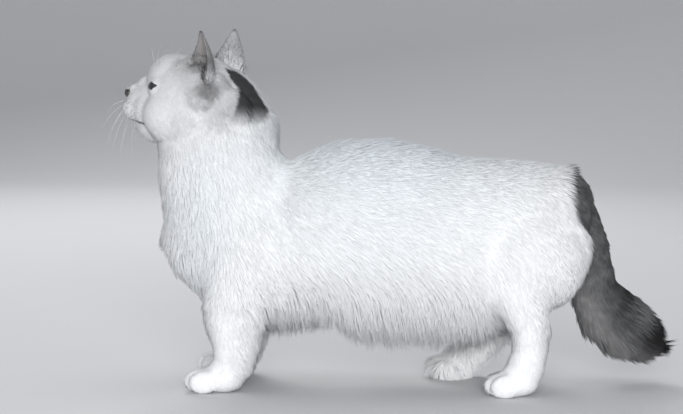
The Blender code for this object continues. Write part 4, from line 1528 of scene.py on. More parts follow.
@dataclass(frozen=True)
class CoatPlan:
    """The lie of the coat, over the body in the uncentred cat's frame and over the head in the head's.

    The draws are the least and the greatest share of a tuft's own size.
    """

    body: tuple[Lay, ...] = lays(
        0.024,
        ((-0.098, 0.0, 0.225), (0.35, 0.0, -1.0), 14, 20, 0.9, 1.0, 0.20),
        ((-0.090, 0.0, 0.190), (0.55, 0.0, -0.8), 14, 20, 0.9, 1.0, 0.20),
        ((-0.068, 0.0, 0.182), (1.0, 0.0, 0.1), 13, 18, 0.9, 1.0, 0.15),
        ((-0.010, 0.0, 0.198), (1.0, 0.0, 0.0), 14, 16, 0.9, 1.0, 0.12),
        ((0.060, 0.0, 0.184), (1.0, 0.0, -0.05), 15, 16, 0.9, 1.0, 0.12),
        ((0.125, 0.0, 0.178), (1.0, 0.0, -0.35), 15, 18, 0.9, 1.0, 0.20),
        ((0.152, 0.0, 0.150), (0.30, 0.0, -1.0), 15, 22, 0.9, 1.1, 0.30),
        ((-0.130, 0.045, 0.200), (0.55, 0.0, -0.9), 15, 20, 0.9, 1.0, 0.25),
        ((-0.150, 0.045, 0.170), (0.25, 0.0, -1.0), 17, 22, 0.9, 1.0, 0.30),
        ((-0.115, 0.055, 0.140), (0.45, 0.1, -1.0), 15, 18, 0.9, 1.0, 0.20),
        ((-0.070, 0.058, 0.130), (0.85, 0.0, -0.7), 15, 16, 0.9, 1.0, 0.15),
        ((-0.030, 0.062, 0.155), (1.0, 0.0, -0.3), 15, 16, 0.9, 1.0, 0.12),
        ((0.050, 0.062, 0.150), (1.0, 0.0, -0.3), 15, 16, 0.9, 1.0, 0.12),
        ((-0.020, 0.066, 0.105), (0.9, 0.0, -0.6), 16, 17, 0.9, 1.0, 0.15),
        ((0.040, 0.066, 0.105), (0.9, 0.0, -0.6), 16, 17, 0.9, 1.0, 0.15),
        ((-0.040, 0.052, 0.070), (0.5, 0.0, -1.0), 21, 22, 0.9, 1.1, 0.35),
        ((0.020, 0.054, 0.068), (0.5, 0.0, -1.0), 20, 22, 0.9, 1.1, 0.35),
        ((-0.075, 0.020, 0.055), (0.6, 0.0, -1.0), 26, 40, 1.0, 1.25, 0.55),
        ((-0.020, 0.020, 0.052), (0.7, 0.0, -1.0), 28, 42, 1.0, 1.4, 0.60),
        ((0.030, 0.020, 0.050), (0.7, 0.0, -1.0), 27, 42, 1.0, 1.4, 0.60),
        ((0.060, 0.015, 0.052), (0.6, 0.0, -1.0), 24, 38, 1.0, 1.3, 0.55),
        ((0.100, 0.062, 0.120), (0.75, 0.0, -0.7), 14, 16, 0.9, 1.0, 0.15),
        ((0.095, 0.060, 0.085), (0.5, 0.0, -1.0), 13, 18, 0.9, 1.0, 0.20),
        ((0.142, 0.040, 0.125), (0.40, 0.0, -1.0), 14, 22, 0.9, 1.1, 0.30),
        ((0.140, 0.040, 0.095), (0.30, 0.0, -1.0), 16, 26, 0.9, 1.2, 0.40),
        ((-0.188, 0.0, 0.165), (-0.05, 0.0, -1.0), 15, 20, 0.9, 1.1, 0.35),
        ((-0.188, 0.0, 0.135), (0.05, 0.0, -1.0), 16, 24, 0.9, 1.2, 0.40),
        ((-0.170, 0.020, 0.105), (0.10, 0.0, -1.0), 19, 27, 0.9, 1.2, 0.45),
        ((-0.150, 0.0, 0.080), (0.10, 0.0, -1.0), 21, 30, 0.9, 1.3, 0.50),
        ((-0.098, 0.020, 0.055), (0.4, 0.0, -1.0), 22, 36, 0.9, 1.3, 0.50),
    ) + lays(
        0.011,
        ((-0.140, 0.055, 0.080), (0.1, 0.0, -1.0), 11, 15, 0.8, 1.1, 0.25),
        ((-0.152, 0.036, 0.078), (-0.15, 0.0, -1.0), 17, 36, 0.85, 1.4, 0.50),
        ((-0.147, 0.036, 0.058), (-0.15, 0.0, -1.0), 13, 32, 0.75, 1.4, 0.45),
        ((-0.140, 0.050, 0.050), (0.1, 0.0, -1.0), 7, 14, 0.65, 1.4, 0.20),
        ((-0.122, 0.062, 0.055), (0.2, 0.0, -1.0), 8, 14, 0.65, 1.3, 0.20),
        ((-0.100, 0.042, 0.058), (0.45, 0.0, -1.0), 20, 32, 0.85, 1.5, 0.50),
        ((-0.106, 0.042, 0.032), (0.55, 0.0, -0.9), 9, 30, 0.7, 1.4, 0.50),
        ((-0.140, 0.045, 0.030), (0.0, 0.0, -1.0), 5, 13, 0.55, 1.6, 0.15),
        ((-0.145, 0.042, 0.018), (-1.0, 0.0, -0.5), 3.6, 12, 0.5, 1.7, 0.10),
        ((-0.158, 0.042, 0.012), (-0.9, 0.0, -0.7), 3.0, 10, 0.45, 1.8, 0.10),
        ((-0.118, 0.042, 0.010), (0.6, 0.0, -0.8), 4.0, 18, 0.5, 1.5, 0.15),
        ((0.095, 0.058, 0.060), (0.25, 0.0, -1.0), 10, 16, 0.75, 1.2, 0.20),
        ((0.098, 0.052, 0.038), (0.1, 0.0, -1.0), 6.5, 14, 0.6, 1.4, 0.15),
        ((0.118, 0.042, 0.060), (0.35, 0.0, -1.0), 13, 26, 0.8, 1.3, 0.40),
        ((0.118, 0.042, 0.035), (0.3, 0.0, -1.0), 7, 22, 0.65, 1.4, 0.30),
        ((0.085, 0.045, 0.020), (-1.0, 0.0, -0.5), 3.6, 12, 0.5, 1.7, 0.10),
        ((0.073, 0.042, 0.012), (-0.9, 0.0, -0.7), 3.0, 10, 0.45, 1.8, 0.10),
        ((0.108, 0.042, 0.010), (0.6, 0.0, -0.8), 4.0, 18, 0.5, 1.5, 0.15),
        ((0.040, 0.042, 0.016), (-1.0, 0.0, -0.5), 3.4, 12, 0.5, 1.7, 0.10),
        ((0.062, 0.042, 0.030), (0.1, 0.0, -1.0), 5.5, 14, 0.55, 1.5, 0.15),
    )
    head: tuple[Lay, ...] = lays(
        0.0065,
        ((-0.0445, 0.0, -0.0030), (1.0, 0.0, 0.6), 2.0, 8, 0.34, 2.6, 0.05),
        ((-0.0370, 0.0, 0.0030), (1.0, 0.0, 0.5), 2.6, 9, 0.38, 2.3, 0.05),
        ((-0.0420, 0.0080, -0.0090), (0.9, 0.5, 0.1), 2.4, 10, 0.36, 2.4, 0.05),
        ((-0.0530, 0.0070, -0.0180), (0.6, 0.9, -0.3), 2.2, 12, 0.36, 2.5, 0.06),
        ((-0.0510, 0.0080, -0.0260), (0.8, 0.7, -0.6), 2.6, 13, 0.38, 2.4, 0.06),
        ((-0.0400, 0.0, -0.0370), (0.6, 0.0, -1.0), 3.2, 16, 0.42, 2.1, 0.10),
        ((-0.0340, 0.0160, -0.0130), (0.9, 0.4, -0.3), 3.2, 12, 0.42, 2.0, 0.08),
        ((-0.0200, 0.0100, -0.0430), (0.8, 0.1, -0.8), 6.5, 20, 0.55, 1.6, 0.20),
        ((-0.0260, 0.0240, -0.0060), (0.9, 0.5, -0.3), 3.6, 12, 0.45, 1.9, 0.08),
        ((-0.0150, 0.0340, -0.0120), (1.0, 0.2, -0.3), 5.5, 14, 0.50, 1.6, 0.12),
        ((-0.0060, 0.0360, -0.0270), (0.8, 0.1, -0.7), 8.0, 18, 0.60, 1.4, 0.22),
        ((0.0100, 0.0380, -0.0180), (0.8, 0.1, -0.7), 10, 19, 0.65, 1.3, 0.28),
        ((0.0200, 0.0380, -0.0350), (0.5, 0.0, -1.0), 13, 22, 0.75, 1.2, 0.35),
        ((-0.0360, 0.0060, 0.0140), (0.6, 0.2, 1.0), 2.8, 10, 0.40, 2.0, 0.06),
        ((-0.0300, 0.0140, 0.0160), (0.8, 0.3, 0.8), 3.4, 11, 0.42, 1.9, 0.08),
        ((-0.0260, 0.0, 0.0250), (1.0, 0.0, 0.6), 4.5, 12, 0.48, 1.8, 0.10),
        ((-0.0100, 0.0, 0.0320), (1.0, 0.0, 0.15), 6.0, 14, 0.55, 1.6, 0.15),
        ((0.0080, 0.0, 0.0340), (1.0, 0.0, -0.1), 7.5, 16, 0.60, 1.5, 0.18),
        ((-0.0180, 0.0280, 0.0080), (1.0, 0.3, 0.2), 4.2, 12, 0.46, 1.8, 0.10),
        ((-0.0040, 0.0320, 0.0100), (0.8, 0.1, -0.2), 6.0, 14, 0.55, 1.6, 0.15),
        ((0.0060, 0.0260, 0.0280), (0.3, 0.4, 1.0), 5.0, 16, 0.50, 1.6, 0.15),
        ((0.0160, 0.0380, 0.0100), (0.7, 0.2, -0.8), 9.0, 18, 0.60, 1.4, 0.28),
        ((0.0260, 0.0220, 0.0290), (1.0, 0.1, -0.4), 9.0, 17, 0.65, 1.4, 0.22),
        ((0.0260, 0.0, 0.0300), (1.0, 0.0, -0.3), 9.0, 16, 0.65, 1.4, 0.18),
        ((0.0420, 0.0300, 0.0130), (0.7, 0.0, -0.8), 12, 19, 0.75, 1.3, 0.28),
        ((0.0480, 0.0, 0.0200), (0.7, 0.0, -0.8), 12, 18, 0.75, 1.3, 0.22),
        ((0.0560, 0.0150, 0.0000), (0.3, 0.0, -1.0), 14, 20, 0.85, 1.2, 0.25),
    )
    random_seed: int = 11
    tufts: int = 110000
    frizz: float = 0.13
    length_draw: tuple[float, float] = (0.78, 1.16)
    lift_draw: tuple[float, float] = (0.55, 1.45)
    width_draw: tuple[float, float] = (0.75, 1.2)
    clump_draw: tuple[float, float] = (0.5, 1.3)
    clump_size: int = 14
    wave: float = 0.05
    bend: float = 0.42
    sunk: float = 0.0006
    lowest: float = 0.0003
    belly_lit_aside: float = 0.14


PLAN = CoatPlan()


@dataclass
class Lie:
    """The coat's way and sizes at many points, row by row."""

    way: Array
    length: Array
    lift: Array
    width: Array
    density: Array
    clump: Array

    @classmethod
    def at(cls, places: Array, rows: Sequence[Lay]) -> "Lie":
        """Blends the plan's places, each with its mirror image, at points in their frame.

        Args:
            places: The points.
            rows: The plan's places.

        Returns:
            The coat's way and sizes there.
        """
        both = [(row, sign) for row in rows for sign in ((1.0, -1.0) if row.place[1] else (1.0,))]
        spots = np.array([(row.place[0], sign * row.place[1], row.place[2]) for row, sign in both])
        ways = unit(np.array([(row.way[0], sign * row.way[1], row.way[2]) for row, sign in both]))
        sizes = np.array([(r.length, r.lift, r.width, r.density, r.clump) for r, _ in both])
        reach = np.array([row.reach for row, _ in both])
        far = ((places[:, None, :] - spots[None, :, :]) ** 2).sum(axis=2) / (2.0 * reach**2)
        say = np.exp(far.min(axis=1, keepdims=True) - far)
        say /= say.sum(axis=1, keepdims=True)
        mixed = say @ sizes
        return cls(say @ ways, mixed[:, 0], mixed[:, 1], mixed[:, 2], mixed[:, 3], mixed[:, 4])

    def blend(self, share: Array, other: "Lie") -> None:
        """Passes over to another lie.

        Args:
            share: How much of the other counts at each point.
            other: The lie at the same points.
        """
        self.way = self.way * (1.0 - share[:, None]) + other.way * share[:, None]
        for name in ("length", "lift", "width", "density", "clump"):
            mixed = getattr(self, name) * (1.0 - share) + getattr(other, name) * share
            setattr(self, name, mixed)


@dataclass(frozen=True)
class TuftForm:
    """The template of one tuft: a tapered three-sided blade of a few lengths."""

    shares: tuple[float, ...]
    tapers: tuple[float, ...]

    def template(self) -> tuple[Array, Array, list[tuple[int, ...]]]:
        """Models one tuft of length 1 and width 1.

        Returns:
            Each vertex's place along the tuft, its place across it, and the faces.
        """
        shape = bmesh.new()
        made = bmesh.ops.create_circle(shape, cap_ends=True, segments=3, radius=0.5 * self.tapers[0])
        face = shape.faces[:][0]
        ends = list(made["verts"])
        for before, share, taper in zip(self.tapers, self.shares[1:], self.tapers[1:]):
            edges = {edge for vert in ends for edge in vert.link_edges if edge.other_vert(vert) in ends}
            grown = bmesh.ops.extrude_edge_only(shape, edges=list(edges))
            ends = [item for item in grown["geom"] if isinstance(item, bmesh.types.BMVert)]
            for vert in ends:
                vert.co = Vector((vert.co.x * taper / before, vert.co.y * taper / before, share))
        bmesh.ops.contextual_create(shape, geom=ends)
        top = [f for f in shape.faces if f is not face and all(v in ends for v in f.verts)]
        peak = bmesh.ops.poke(shape, faces=top)["verts"][0]
        peak.co = Vector((0.0, 0.0, 1.0))
        bmesh.ops.triangulate(shape, faces=shape.faces)
        bmesh.ops.recalc_face_normals(shape, faces=shape.faces)
        shape.verts.index_update()
        places = np.array([vert.co for vert in shape.verts])
        faces = [tuple(vert.index for vert in face.verts) for face in shape.faces]
        shape.free()
        return places[:, 2].copy(), places[:, :2].copy(), faces


SHORT_TUFT = TuftForm((0.0, 0.5), (1.0, 0.72))
LONG_TUFT = TuftForm((0.0, 0.34, 0.68), (1.0, 0.86, 0.52))


@dataclass
class Tufts:
    """Where many tufts stand, and how each lies."""

    roots: Array
    normals: Array
    maps: Array
    lie: Lie

    def pick(self, chosen: Array) -> "Tufts":
        """The tufts that a mask or a list of numbers picks."""
        names = ("way", "length", "lift", "width", "density", "clump")
        lie = Lie(*(getattr(self.lie, name)[chosen] for name in names))
        return Tufts(self.roots[chosen], self.normals[chosen], self.maps[chosen], lie)

    def count(self) -> int:
        """How many tufts there are."""
        return len(self.roots)


class Coat:
    """The fur: tufts rooted on the skin, one object for each region."""

    def __init__(self, skin: Skin, centring: Centring) -> None:
        """Keeps the skin that the tufts root on, and where the cat stands."""
        self.skin = skin
        self.centring = centring
        self.surface = Surface.of(skin.piece)
        self.dice = np.random.default_rng(PLAN.random_seed)

    def lie_at(self, places: Array, normals: Array) -> Lie:
        """How the coat lies at points on the skin.

        Args:
            places: The points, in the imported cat's frame.
            normals: The skin's normals there.

        Returns:
            The coat's way and sizes.
        """
        raw = places - np.array(self.centring.shift)
        lie = Lie.at(raw, PLAN.body)
        frame = self.centring.head()
        local = moved(places, frame.inverted())
        head = Lie.at(local, PLAN.head)
        head.way = turned(head.way, frame)
        lie.blend(1.0 - rise(head_gap(local), 0.050, 0.062), head)
        self._blend_tail(lie, places, raw)
        self._blend_ears(lie, places, normals)
        self._part_round_eyes(lie, local, frame)
        return lie

    def _blend_tail(self, lie: Lie, places: Array, raw: Array) -> None:
        """Lays the tail's long hair along it, out to its brush."""
        line, _, nearest = nearest_on_tail(raw)
        ahead = unit(np.gradient(line, axis=0))
        along = nearest / (len(line) - 1.0)
        share, _ = tail_shares(places, self.centring)
        count = len(places)
        long = 0.0125 + 0.0135 * rise(along, 0.3, 0.7) - 0.006 * rise(along, 0.80, 1.0)
        lift = 20.0 + 14.0 * rise(along, 0.4, 0.75)
        full = [np.full(count, value) for value in (0.0011, 1.75, 0.42)]
        lie.blend(share, Lie(ahead[nearest], long, lift, *full))

    def _blend_ears(self, lie: Lie, places: Array, normals: Array) -> None:
        """Lays the ears' short hair towards their tips, thin inside the cup."""
        for side in Side:
            height, inward = ear_shares(places, normals, side, self.centring)
            inside = rise(inward, -0.1, 0.3)
            low = inside * (1.0 - rise(height, 0.25, 0.60)) * rise(height, 0.01, 0.06)
            share = np.maximum(rise(height, 0.18, 0.32), low)
            frame = self.centring.head() @ EAR.matrix(side)
            upright = np.stack((-0.45 * low, np.zeros(len(low)), np.ones(len(low))), axis=1)
            ones = np.ones(len(places))
            length = 0.0058 - 0.0016 * rise(height, 0.5, 0.9) - 0.0012 * inside + 0.0070 * low
            density = 3.4 - 1.5 * inside + 0.8 * low
            lift = 13.0 + 17.0 * low
            width, clump = 0.00046 * ones, 0.1 * ones
            lie.blend(share, Lie(turned(upright, frame), length, lift, width, density, clump))

    def _part_round_eyes(self, lie: Lie, local: Array, frame: Matrix) -> None:
        """Turns the short hair away from each eye's opening."""
        for side in Side:
            eye = EYE.matrix(side)
            front = np.array(eye @ Vector((-EYE.radius, 0.0, 0.0)))
            away = local - front
            share = np.exp(-((np.linalg.norm(away, axis=1) / 0.0085) ** 2))
            lie.way = lie.way * (1.0 - share[:, None]) + turned(unit(away), frame) * share[:, None]
            lie.length = lie.length * (1.0 - 0.55 * share)
            lie.lift = lie.lift * (1.0 - 0.5 * share)

    def bare(self, places: Array, normals: Array) -> Array:
        """Marks points that carry no hair: eye sockets, nose, mouth line, soles.

        Args:
            places: The points.
            normals: The skin's normals there.

        Returns:
            True for each bare point.
        """
        local = moved(places, self.centring.head().inverted())
        bald = (places[:, 2] < 0.0015) & (normals[:, 2] < -0.6)
        nose = np.array(HEAD_FORM.nose.middle)
        bald |= np.linalg.norm((local - nose) / (0.0052, 0.0062, 0.0050), axis=1) < 1.0
        for side in Side:
            middle = np.array(EYE.matrix(side).translation)
            bald |= np.linalg.norm(local - middle, axis=1) < EYE.radius + 0.0004
            line = np.array(mouth_line(side))
            bald |= np.linalg.norm(local[:, None, :] - line[None, :, :], axis=2).min(axis=1) < 0.0010
        return bald

    def region_of(self, places: Array, normals: Array) -> Array:
        """Sorts points on the skin into the coat's pieces.

        Args:
            places: The points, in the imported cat's frame.
            normals: The skin's normals there.

        Returns:
            The index of each point's region, in the order of Region.
        """
        raw = places - np.array(self.centring.shift)
        local = moved(places, self.centring.head().inverted())
        x, y, z = raw.T
        order = list(Region)
        made = np.where(y < 0.0, order.index(Region.FLANK_LEFT), order.index(Region.FLANK_RIGHT))
        made = np.where((z > 0.150) & (x > -0.100), order.index(Region.BACK), made)
        made = np.where((z < 0.078) & (np.abs(y) < 0.064), order.index(Region.BELLY), made)
        limb = (z < 0.062) & (np.abs(y) > 0.014) & ((x < -0.090) | (x > 0.080))
        limb |= (z < 0.040) | ((z < 0.056) & (x > 0.055) & (y > 0.016))
        made = np.where(limb, order.index(Region.LEGS), made)
        made = np.where((x < -0.092) & (z > 0.062), order.index(Region.CHEST), made)
        made = np.where((x < -0.076) & (z > 0.146), order.index(Region.RUFF), made)
        markings_and_shade_on_head = head_gap(local) < 0.056
        made = np.where(markings_and_shade_on_head, order.index(Region.CROWN), made)
        made = np.where(markings_and_shade_on_head & (local[:, 2] < 0.0), order.index(Region.CHEEKS), made)
        made = np.where(markings_and_shade_on_head & (local[:, 0] < -0.018), order.index(Region.FACE), made)
        tail, _ = tail_shares(places, self.centring)
        made = np.where(tail > 0.5, order.index(Region.TAIL), made)
        for side in Side:
            height, _ = ear_shares(places, normals, side, self.centring)
            made = np.where(height > 0.30, order.index(Region.EARS), made)
        return made

    def spread(self, count: int) -> Tufts:
        """Roots tufts all over the skin, closer where they are shorter.

        Args:
            count: How many tufts there are.

        Returns:
            The tufts.
        """
        middles = self.surface.corners.mean(axis=1)
        facing = unit(self.surface.normals.mean(axis=1))
        weights = self.lie_at(middles, facing).density ** 1.5
        places, normals, maps = self.surface.scatter(weights, count, self.dice)
        tufts = Tufts(places, normals, maps, self.lie_at(places, normals))
        return tufts.pick(~self.bare(places, normals))

    def _fringe(self, tufts: Tufts) -> tuple[Array, Array]:
        """Finds the tufts that hang freely under the belly.

        Args:
            tufts: The tufts.

        Returns:
            The way each would hang, and how far it does.
        """
        raw = tufts.roots - np.array(self.centring.shift)
        x, y, z = raw.T
        down = np.stack((np.full(len(x), 0.30), 1.2 * y, np.full(len(x), -1.0)), axis=1)
        down = unit(down + self.dice.normal(0.0, 0.10, down.shape))
        hang = rise(-tufts.normals[:, 2], 0.15, 0.60)
        hang = hang * rise(x, -0.112, -0.102) * (1.0 - rise(x, 0.062, 0.078))
        inside = 1.0 - rise(np.abs(y), 0.054, 0.062)
        hang *= inside * rise(z, 0.036, 0.042) * (1.0 - rise(z, 0.078, 0.090))
        return down, hang

    def grow(
        self,
        name: str,
        tufts: Tufts,
        form: TuftForm,
        material: bpy.types.Material,
        even: float,
    ) -> None:
        """Makes one piece of the coat.

        Args:
            name: The piece's name.
            tufts: Its tufts.
            form: The template of a tuft.
            material: The finish.
            even: How far the tufts are lit like the skin under them, and not each as its own blade.
        """
        along, across, faces = form.template()
        count, corners = tufts.count(), len(along)
        lie, dice = tufts.lie, self.dice
        normals = tufts.normals
        way = lie.way + dice.normal(0.0, PLAN.frizz, (count, 3))
        way = unit(way - normals * (way * normals).sum(axis=1, keepdims=True))
        beside = np.cross(normals, way)
        length = lie.length * dice.uniform(*PLAN.length_draw, count)
        lift = np.radians(lie.lift * dice.uniform(*PLAN.lift_draw, count))
        wave = dice.normal(0.0, PLAN.wave, count) * length
        bend = PLAN.bend * np.sin(lift)
        share = along[None, :, None]
        out = np.sin(lift)[:, None, None] * share - bend[:, None, None] * share**2
        line = way[:, None, :] * (np.cos(lift)[:, None, None] * share) + normals[:, None, :] * out
        line = tufts.roots[:, None, :] - normals[:, None, :] * PLAN.sunk + line * length[:, None, None]
        line += beside[:, None, :] * wave[:, None, None] * share**2
        down, hang = self._fringe(tufts)
        falling = tufts.roots[:, None, :] + down[:, None, :] * length[:, None, None] * share
        line += (falling - line) * hang[:, None, None] * share**0.5
        reach = way * np.cos(lift)[:, None] + normals * (np.sin(lift) - bend)[:, None]
        tips = tufts.roots + reach * length[:, None]
        tips += (tufts.roots + down * length[:, None] - tips) * hang[:, None]
        leaders = dice.permutation(count)[: max(1, count // PLAN.clump_size)]
        guide = KDTree(len(leaders))
        for number, leader in enumerate(leaders):
            guide.insert(tufts.roots[leader], number)
        guide.balance()
        chief = leaders[[guide.find(root)[1] for root in tufts.roots]]
        pull = (tips[chief] - tips) * (lie.clump * dice.uniform(*PLAN.clump_draw, count))[:, None]
        line += pull[:, None, :] * share**1.7
        width = lie.width * dice.uniform(*PLAN.width_draw, count)
        sideways, upward = across[None, :, 0, None], across[None, :, 1, None]
        spread = beside[:, None, :] * sideways + normals[:, None, :] * upward
        points = line + spread * width[:, None, None]
        points[:, :, 2] = np.maximum(points[:, :, 2], PLAN.lowest)
        aside = np.stack((np.zeros(count), np.sign(tufts.roots[:, 1]), np.full(count, 0.2)), axis=1)
        faced = unit(normals + (aside - normals) * PLAN.belly_lit_aside * hang[:, None])
        own = unit(spread + 1e-9) * (1.15 - even)
        soft = unit(faced[:, None, :] * even + own + way[:, None, :] * 0.10 * share)

        mesh = bpy.data.meshes.new(name)
        table = np.array(faces)
        loops = (table[None, :, :] + (np.arange(count) * corners)[:, None, None]).reshape(-1)
        mesh.vertices.add(count * corners)
        mesh.vertices.foreach_set("co", points.reshape(-1).astype(np.float32))
        mesh.loops.add(len(loops))
        mesh.loops.foreach_set("vertex_index", loops.astype(np.int32))
        mesh.polygons.add(len(loops) // 3)
        mesh.polygons.foreach_set("loop_start", np.arange(0, len(loops), 3, dtype=np.int32))
        mesh.update(calc_edges=True)
        lengthwise = np.tile(along, (count, 1)) - 0.5
        crosswise = across[None, :, 0] + np.zeros((count, 1))
        patch = np.stack((lengthwise, crosswise), axis=2) * BAKE_PATCH
        patch = (patch + tufts.maps[:, None, :]).reshape(-1, 2)
        layer = mesh.uv_layers.new(name=BAKE_MAP)
        layer.data.foreach_set("uv", patch[loops].reshape(-1).astype(np.float32))
        tail, under = tail_shares(tufts.roots, self.centring)
        marks = {
            "along": np.tile(along, count),
            "shade": np.repeat(dice.random(count), corners),
            "tail": np.repeat(tail, corners),
            "under": np.repeat(under, corners),
        }
        for title, values in marks.items():
            store(mesh, title, values)
        mesh.polygons.foreach_set("use_smooth", np.ones(len(loops) // 3, bool))
        mesh.normals_split_custom_set_from_vertices(soft.reshape(-1, 3))
        mesh.materials.append(material)
        piece = bpy.data.objects.new(name, mesh)
        bpy.context.scene.collection.objects.link(piece)
        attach(piece, BODY)
        LOG.info("%s: %d tufts, %d triangles", name, count, count * len(faces))

    def dress(self) -> None:
        """Grows every piece of the coat."""
        tufts = self.spread(PLAN.tufts)
        regions = self.region_of(tufts.roots, tufts.normals)
        material = CoatFinish("fur").make(self.centring.head())
        long = (Region.CHEST, Region.BELLY, Region.TAIL)
        for index, region in enumerate(Region):
            chosen = tufts.pick(regions == index)
            name, slot = region.value
            form = LONG_TUFT if region in long else SHORT_TUFT
            even = 0.40 if region is Region.EARS else 0.85
            self.grow(name, chosen, form, material, even)


class Eyes:
    """The two eyeballs and the dark rims of their lids."""

    def __init__(self, centring: Centring) -> None:
        """Keeps where the cat stands."""
        self.centring = centring

    def build(self, side: Side) -> None:
        """Models and dresses one eye.

        Args:
            side: Which eye.
        """
        label = side.name.lower()
        frame = self.centring.head() @ EYE.matrix(side)
        shape = bmesh.new()
        pole = Matrix.Rotation(math.radians(-90.0), 4, "Y")
        bmesh.ops.create_uvsphere(shape, u_segments=56, v_segments=40, radius=EYE.radius, matrix=pole)
        for vert in shape.verts:
            off = math.hypot(vert.co.y, vert.co.z) / EYE.radius
            if vert.co.x < 0.0 and off < 0.68:
                vert.co.x -= 0.0011 * (1.0 - (off / 0.68) ** 2)
        cut_flat(shape, (0.0020, 0.0, 0.0), (1.0, 0.0, 0.0))
        bmesh.ops.transform(shape, matrix=frame, verts=shape.verts)
        ball = add_object(f"eyeball_{label}", shape)
        smooth_faces(ball)
        ball.data.materials.append(EyeFinish().make(f"eye_{label}", frame))
        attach(ball, BODY)
        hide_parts(f"eye_{label}")
        self._rim(side, label, frame)

    def _rim(self, side: Side, label: str, frame: Matrix) -> None:
        """Models the dark rim of one eye's lids."""
        outline = lid_outline(16)
        points = []
        for y, z in outline + outline[:2]:
            reach = (EYE.radius + 0.0005) ** 2 - y * y - z * z
            points.append(Vector((-math.sqrt(reach), y, z)))
        shape = bmesh.new()
        thread(shape, points, [0.00045] * len(points), sides=8)
        bmesh.ops.transform(shape, matrix=frame, verts=shape.verts)
        piece = add_object(f"lid_rim_{label}", shape)
        smooth_faces(piece)
        finish = LeatherFinish(f"lid_rim_{label}", (0.018, 0.016, 0.017), 0.6)
        piece.data.materials.append(finish.make())
        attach(piece, BODY)


class Nose:
    """The nose leather, with its nostrils."""

    def __init__(self, centring: Centring) -> None:
        """Keeps where the cat stands."""
        self.centring = centring

    def build(self) -> None:
        """Models and dresses the nose."""
        form = HEAD_FORM.nose
        shape = bmesh.new()
        bmesh.ops.create_uvsphere(shape, u_segments=48, v_segments=32, radius=1.0)
        for vert in shape.verts:
            x, y, z = vert.co
            narrow = 1.0 - 0.42 * max(0.0, -z)
            crease = 0.16 * math.exp(-((y / 0.13) ** 2)) * max(0.0, 0.4 - z)
            vert.co = Vector((x * (1.0 - crease), y * narrow * (1.0 + 0.10 * z), z))
        place = Matrix.Translation(form.middle) @ Matrix.Rotation(math.radians(form.turn), 4, "Y")
        bmesh.ops.transform(shape, matrix=place @ Matrix.Diagonal((*form.radii, 1.0)), verts=shape.verts)
        leather = add_object("nose_pad", shape)
        nostril = smooth_line([Vector(place) for place in HEAD_FORM.nostril], 5)
        for side in Side:
            hole = bmesh.new()
            points = [side.mirrored(point) for point in nostril]
            radii = [0.0012 - 0.0008 * index / (len(points) - 1) for index in range(len(points))]
            thread(hole, points, radii, sides=12)
            combine(leather, add_object("nostril", hole), "DIFFERENCE")
        leather.data.transform(self.centring.head())
        smooth_faces(leather)
        leather.data.materials.clear()
        finish = LeatherFinish("nose_leather", (0.030, 0.026, 0.027), 0.35)
        leather.data.materials.append(finish.make())
        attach(leather, BODY)
        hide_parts("nose")


class Whiskers:
    """The whiskers on the lip pads and over the eyes."""

    def __init__(self, skin: Skin, centring: Centring) -> None:
        """Keeps the skin that they stand on, and where the cat stands."""
        self.skin = skin
        self.centring = centring
        self.dice = np.random.default_rng(5)

    def build(self, side: Side) -> None:
        """Models and dresses one side's whiskers.

        Args:
            side: Which side of the face.
        """
        shape = bmesh.new()
        marks = shape.verts.layers.float.new("along")
        for row in range(3):
            for step in range(4):
                root = Vector((-0.0465 + 0.0042 * step, 0.0100 + 0.0012 * step, -0.0165 - 0.0034 * row))
                way = Vector((-0.10 + 0.16 * step, 1.0, 0.10 - 0.34 * row))
                length = 0.046 - 0.004 * abs(step - 2) - 0.004 * row
                self._add(shape, marks, side, root, way, length, 0.00022)
        for step in range(3):
            root = Vector((-0.0300 + 0.0028 * step, 0.0130 + 0.0022 * step, 0.0185))
            way = Vector((-0.25 + 0.25 * step, 0.45, 1.0))
            self._add(shape, marks, side, root, way, 0.026, 0.00015)
        piece = add_object(f"whiskers_{side.name.lower()}", shape)
        smooth_faces(piece)
        piece.data.materials.append(WhiskerFinish().make())
        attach(piece, BODY)

    def _add(
        self,
        shape: bmesh.types.BMesh,
        marks: Any,
        side: Side,
        root: Vector,
        way: Vector,
        length: float,
        radius: float,
    ) -> None:
        """Adds one whisker, which leaves the skin and droops."""
        frame = self.centring.head()
        way = side.mirrored(way) + Vector(self.dice.normal(0.0, 0.07, 3))
        on_skin, _, _, _ = self.skin.tree.find_nearest(frame @ side.mirrored(root))
        ahead = (frame.to_3x3() @ way).normalized()
        steps, sides = 9, 5
        points, radii = [], []
        for step in range(steps + 1):
            share = step / steps
            droop = Vector((0.10, 0.0, -0.26)) * share * share
            points.append(on_skin + (ahead * share + droop) * length - ahead * 0.001)
            radii.append(radius * (1.0 - 0.86 * share))
        before = len(shape.verts)
        thread(shape, points, radii, sides)
        shape.verts.ensure_lookup_table()
        for number, vert in enumerate(shape.verts[before:]):
            vert[marks] = (number // sides) / steps


class Lamp(NamedTuple):
    """One soft square light: its name, place, width in metres and power in watts."""

    name: str
    place: Point
    width: float
    power: float


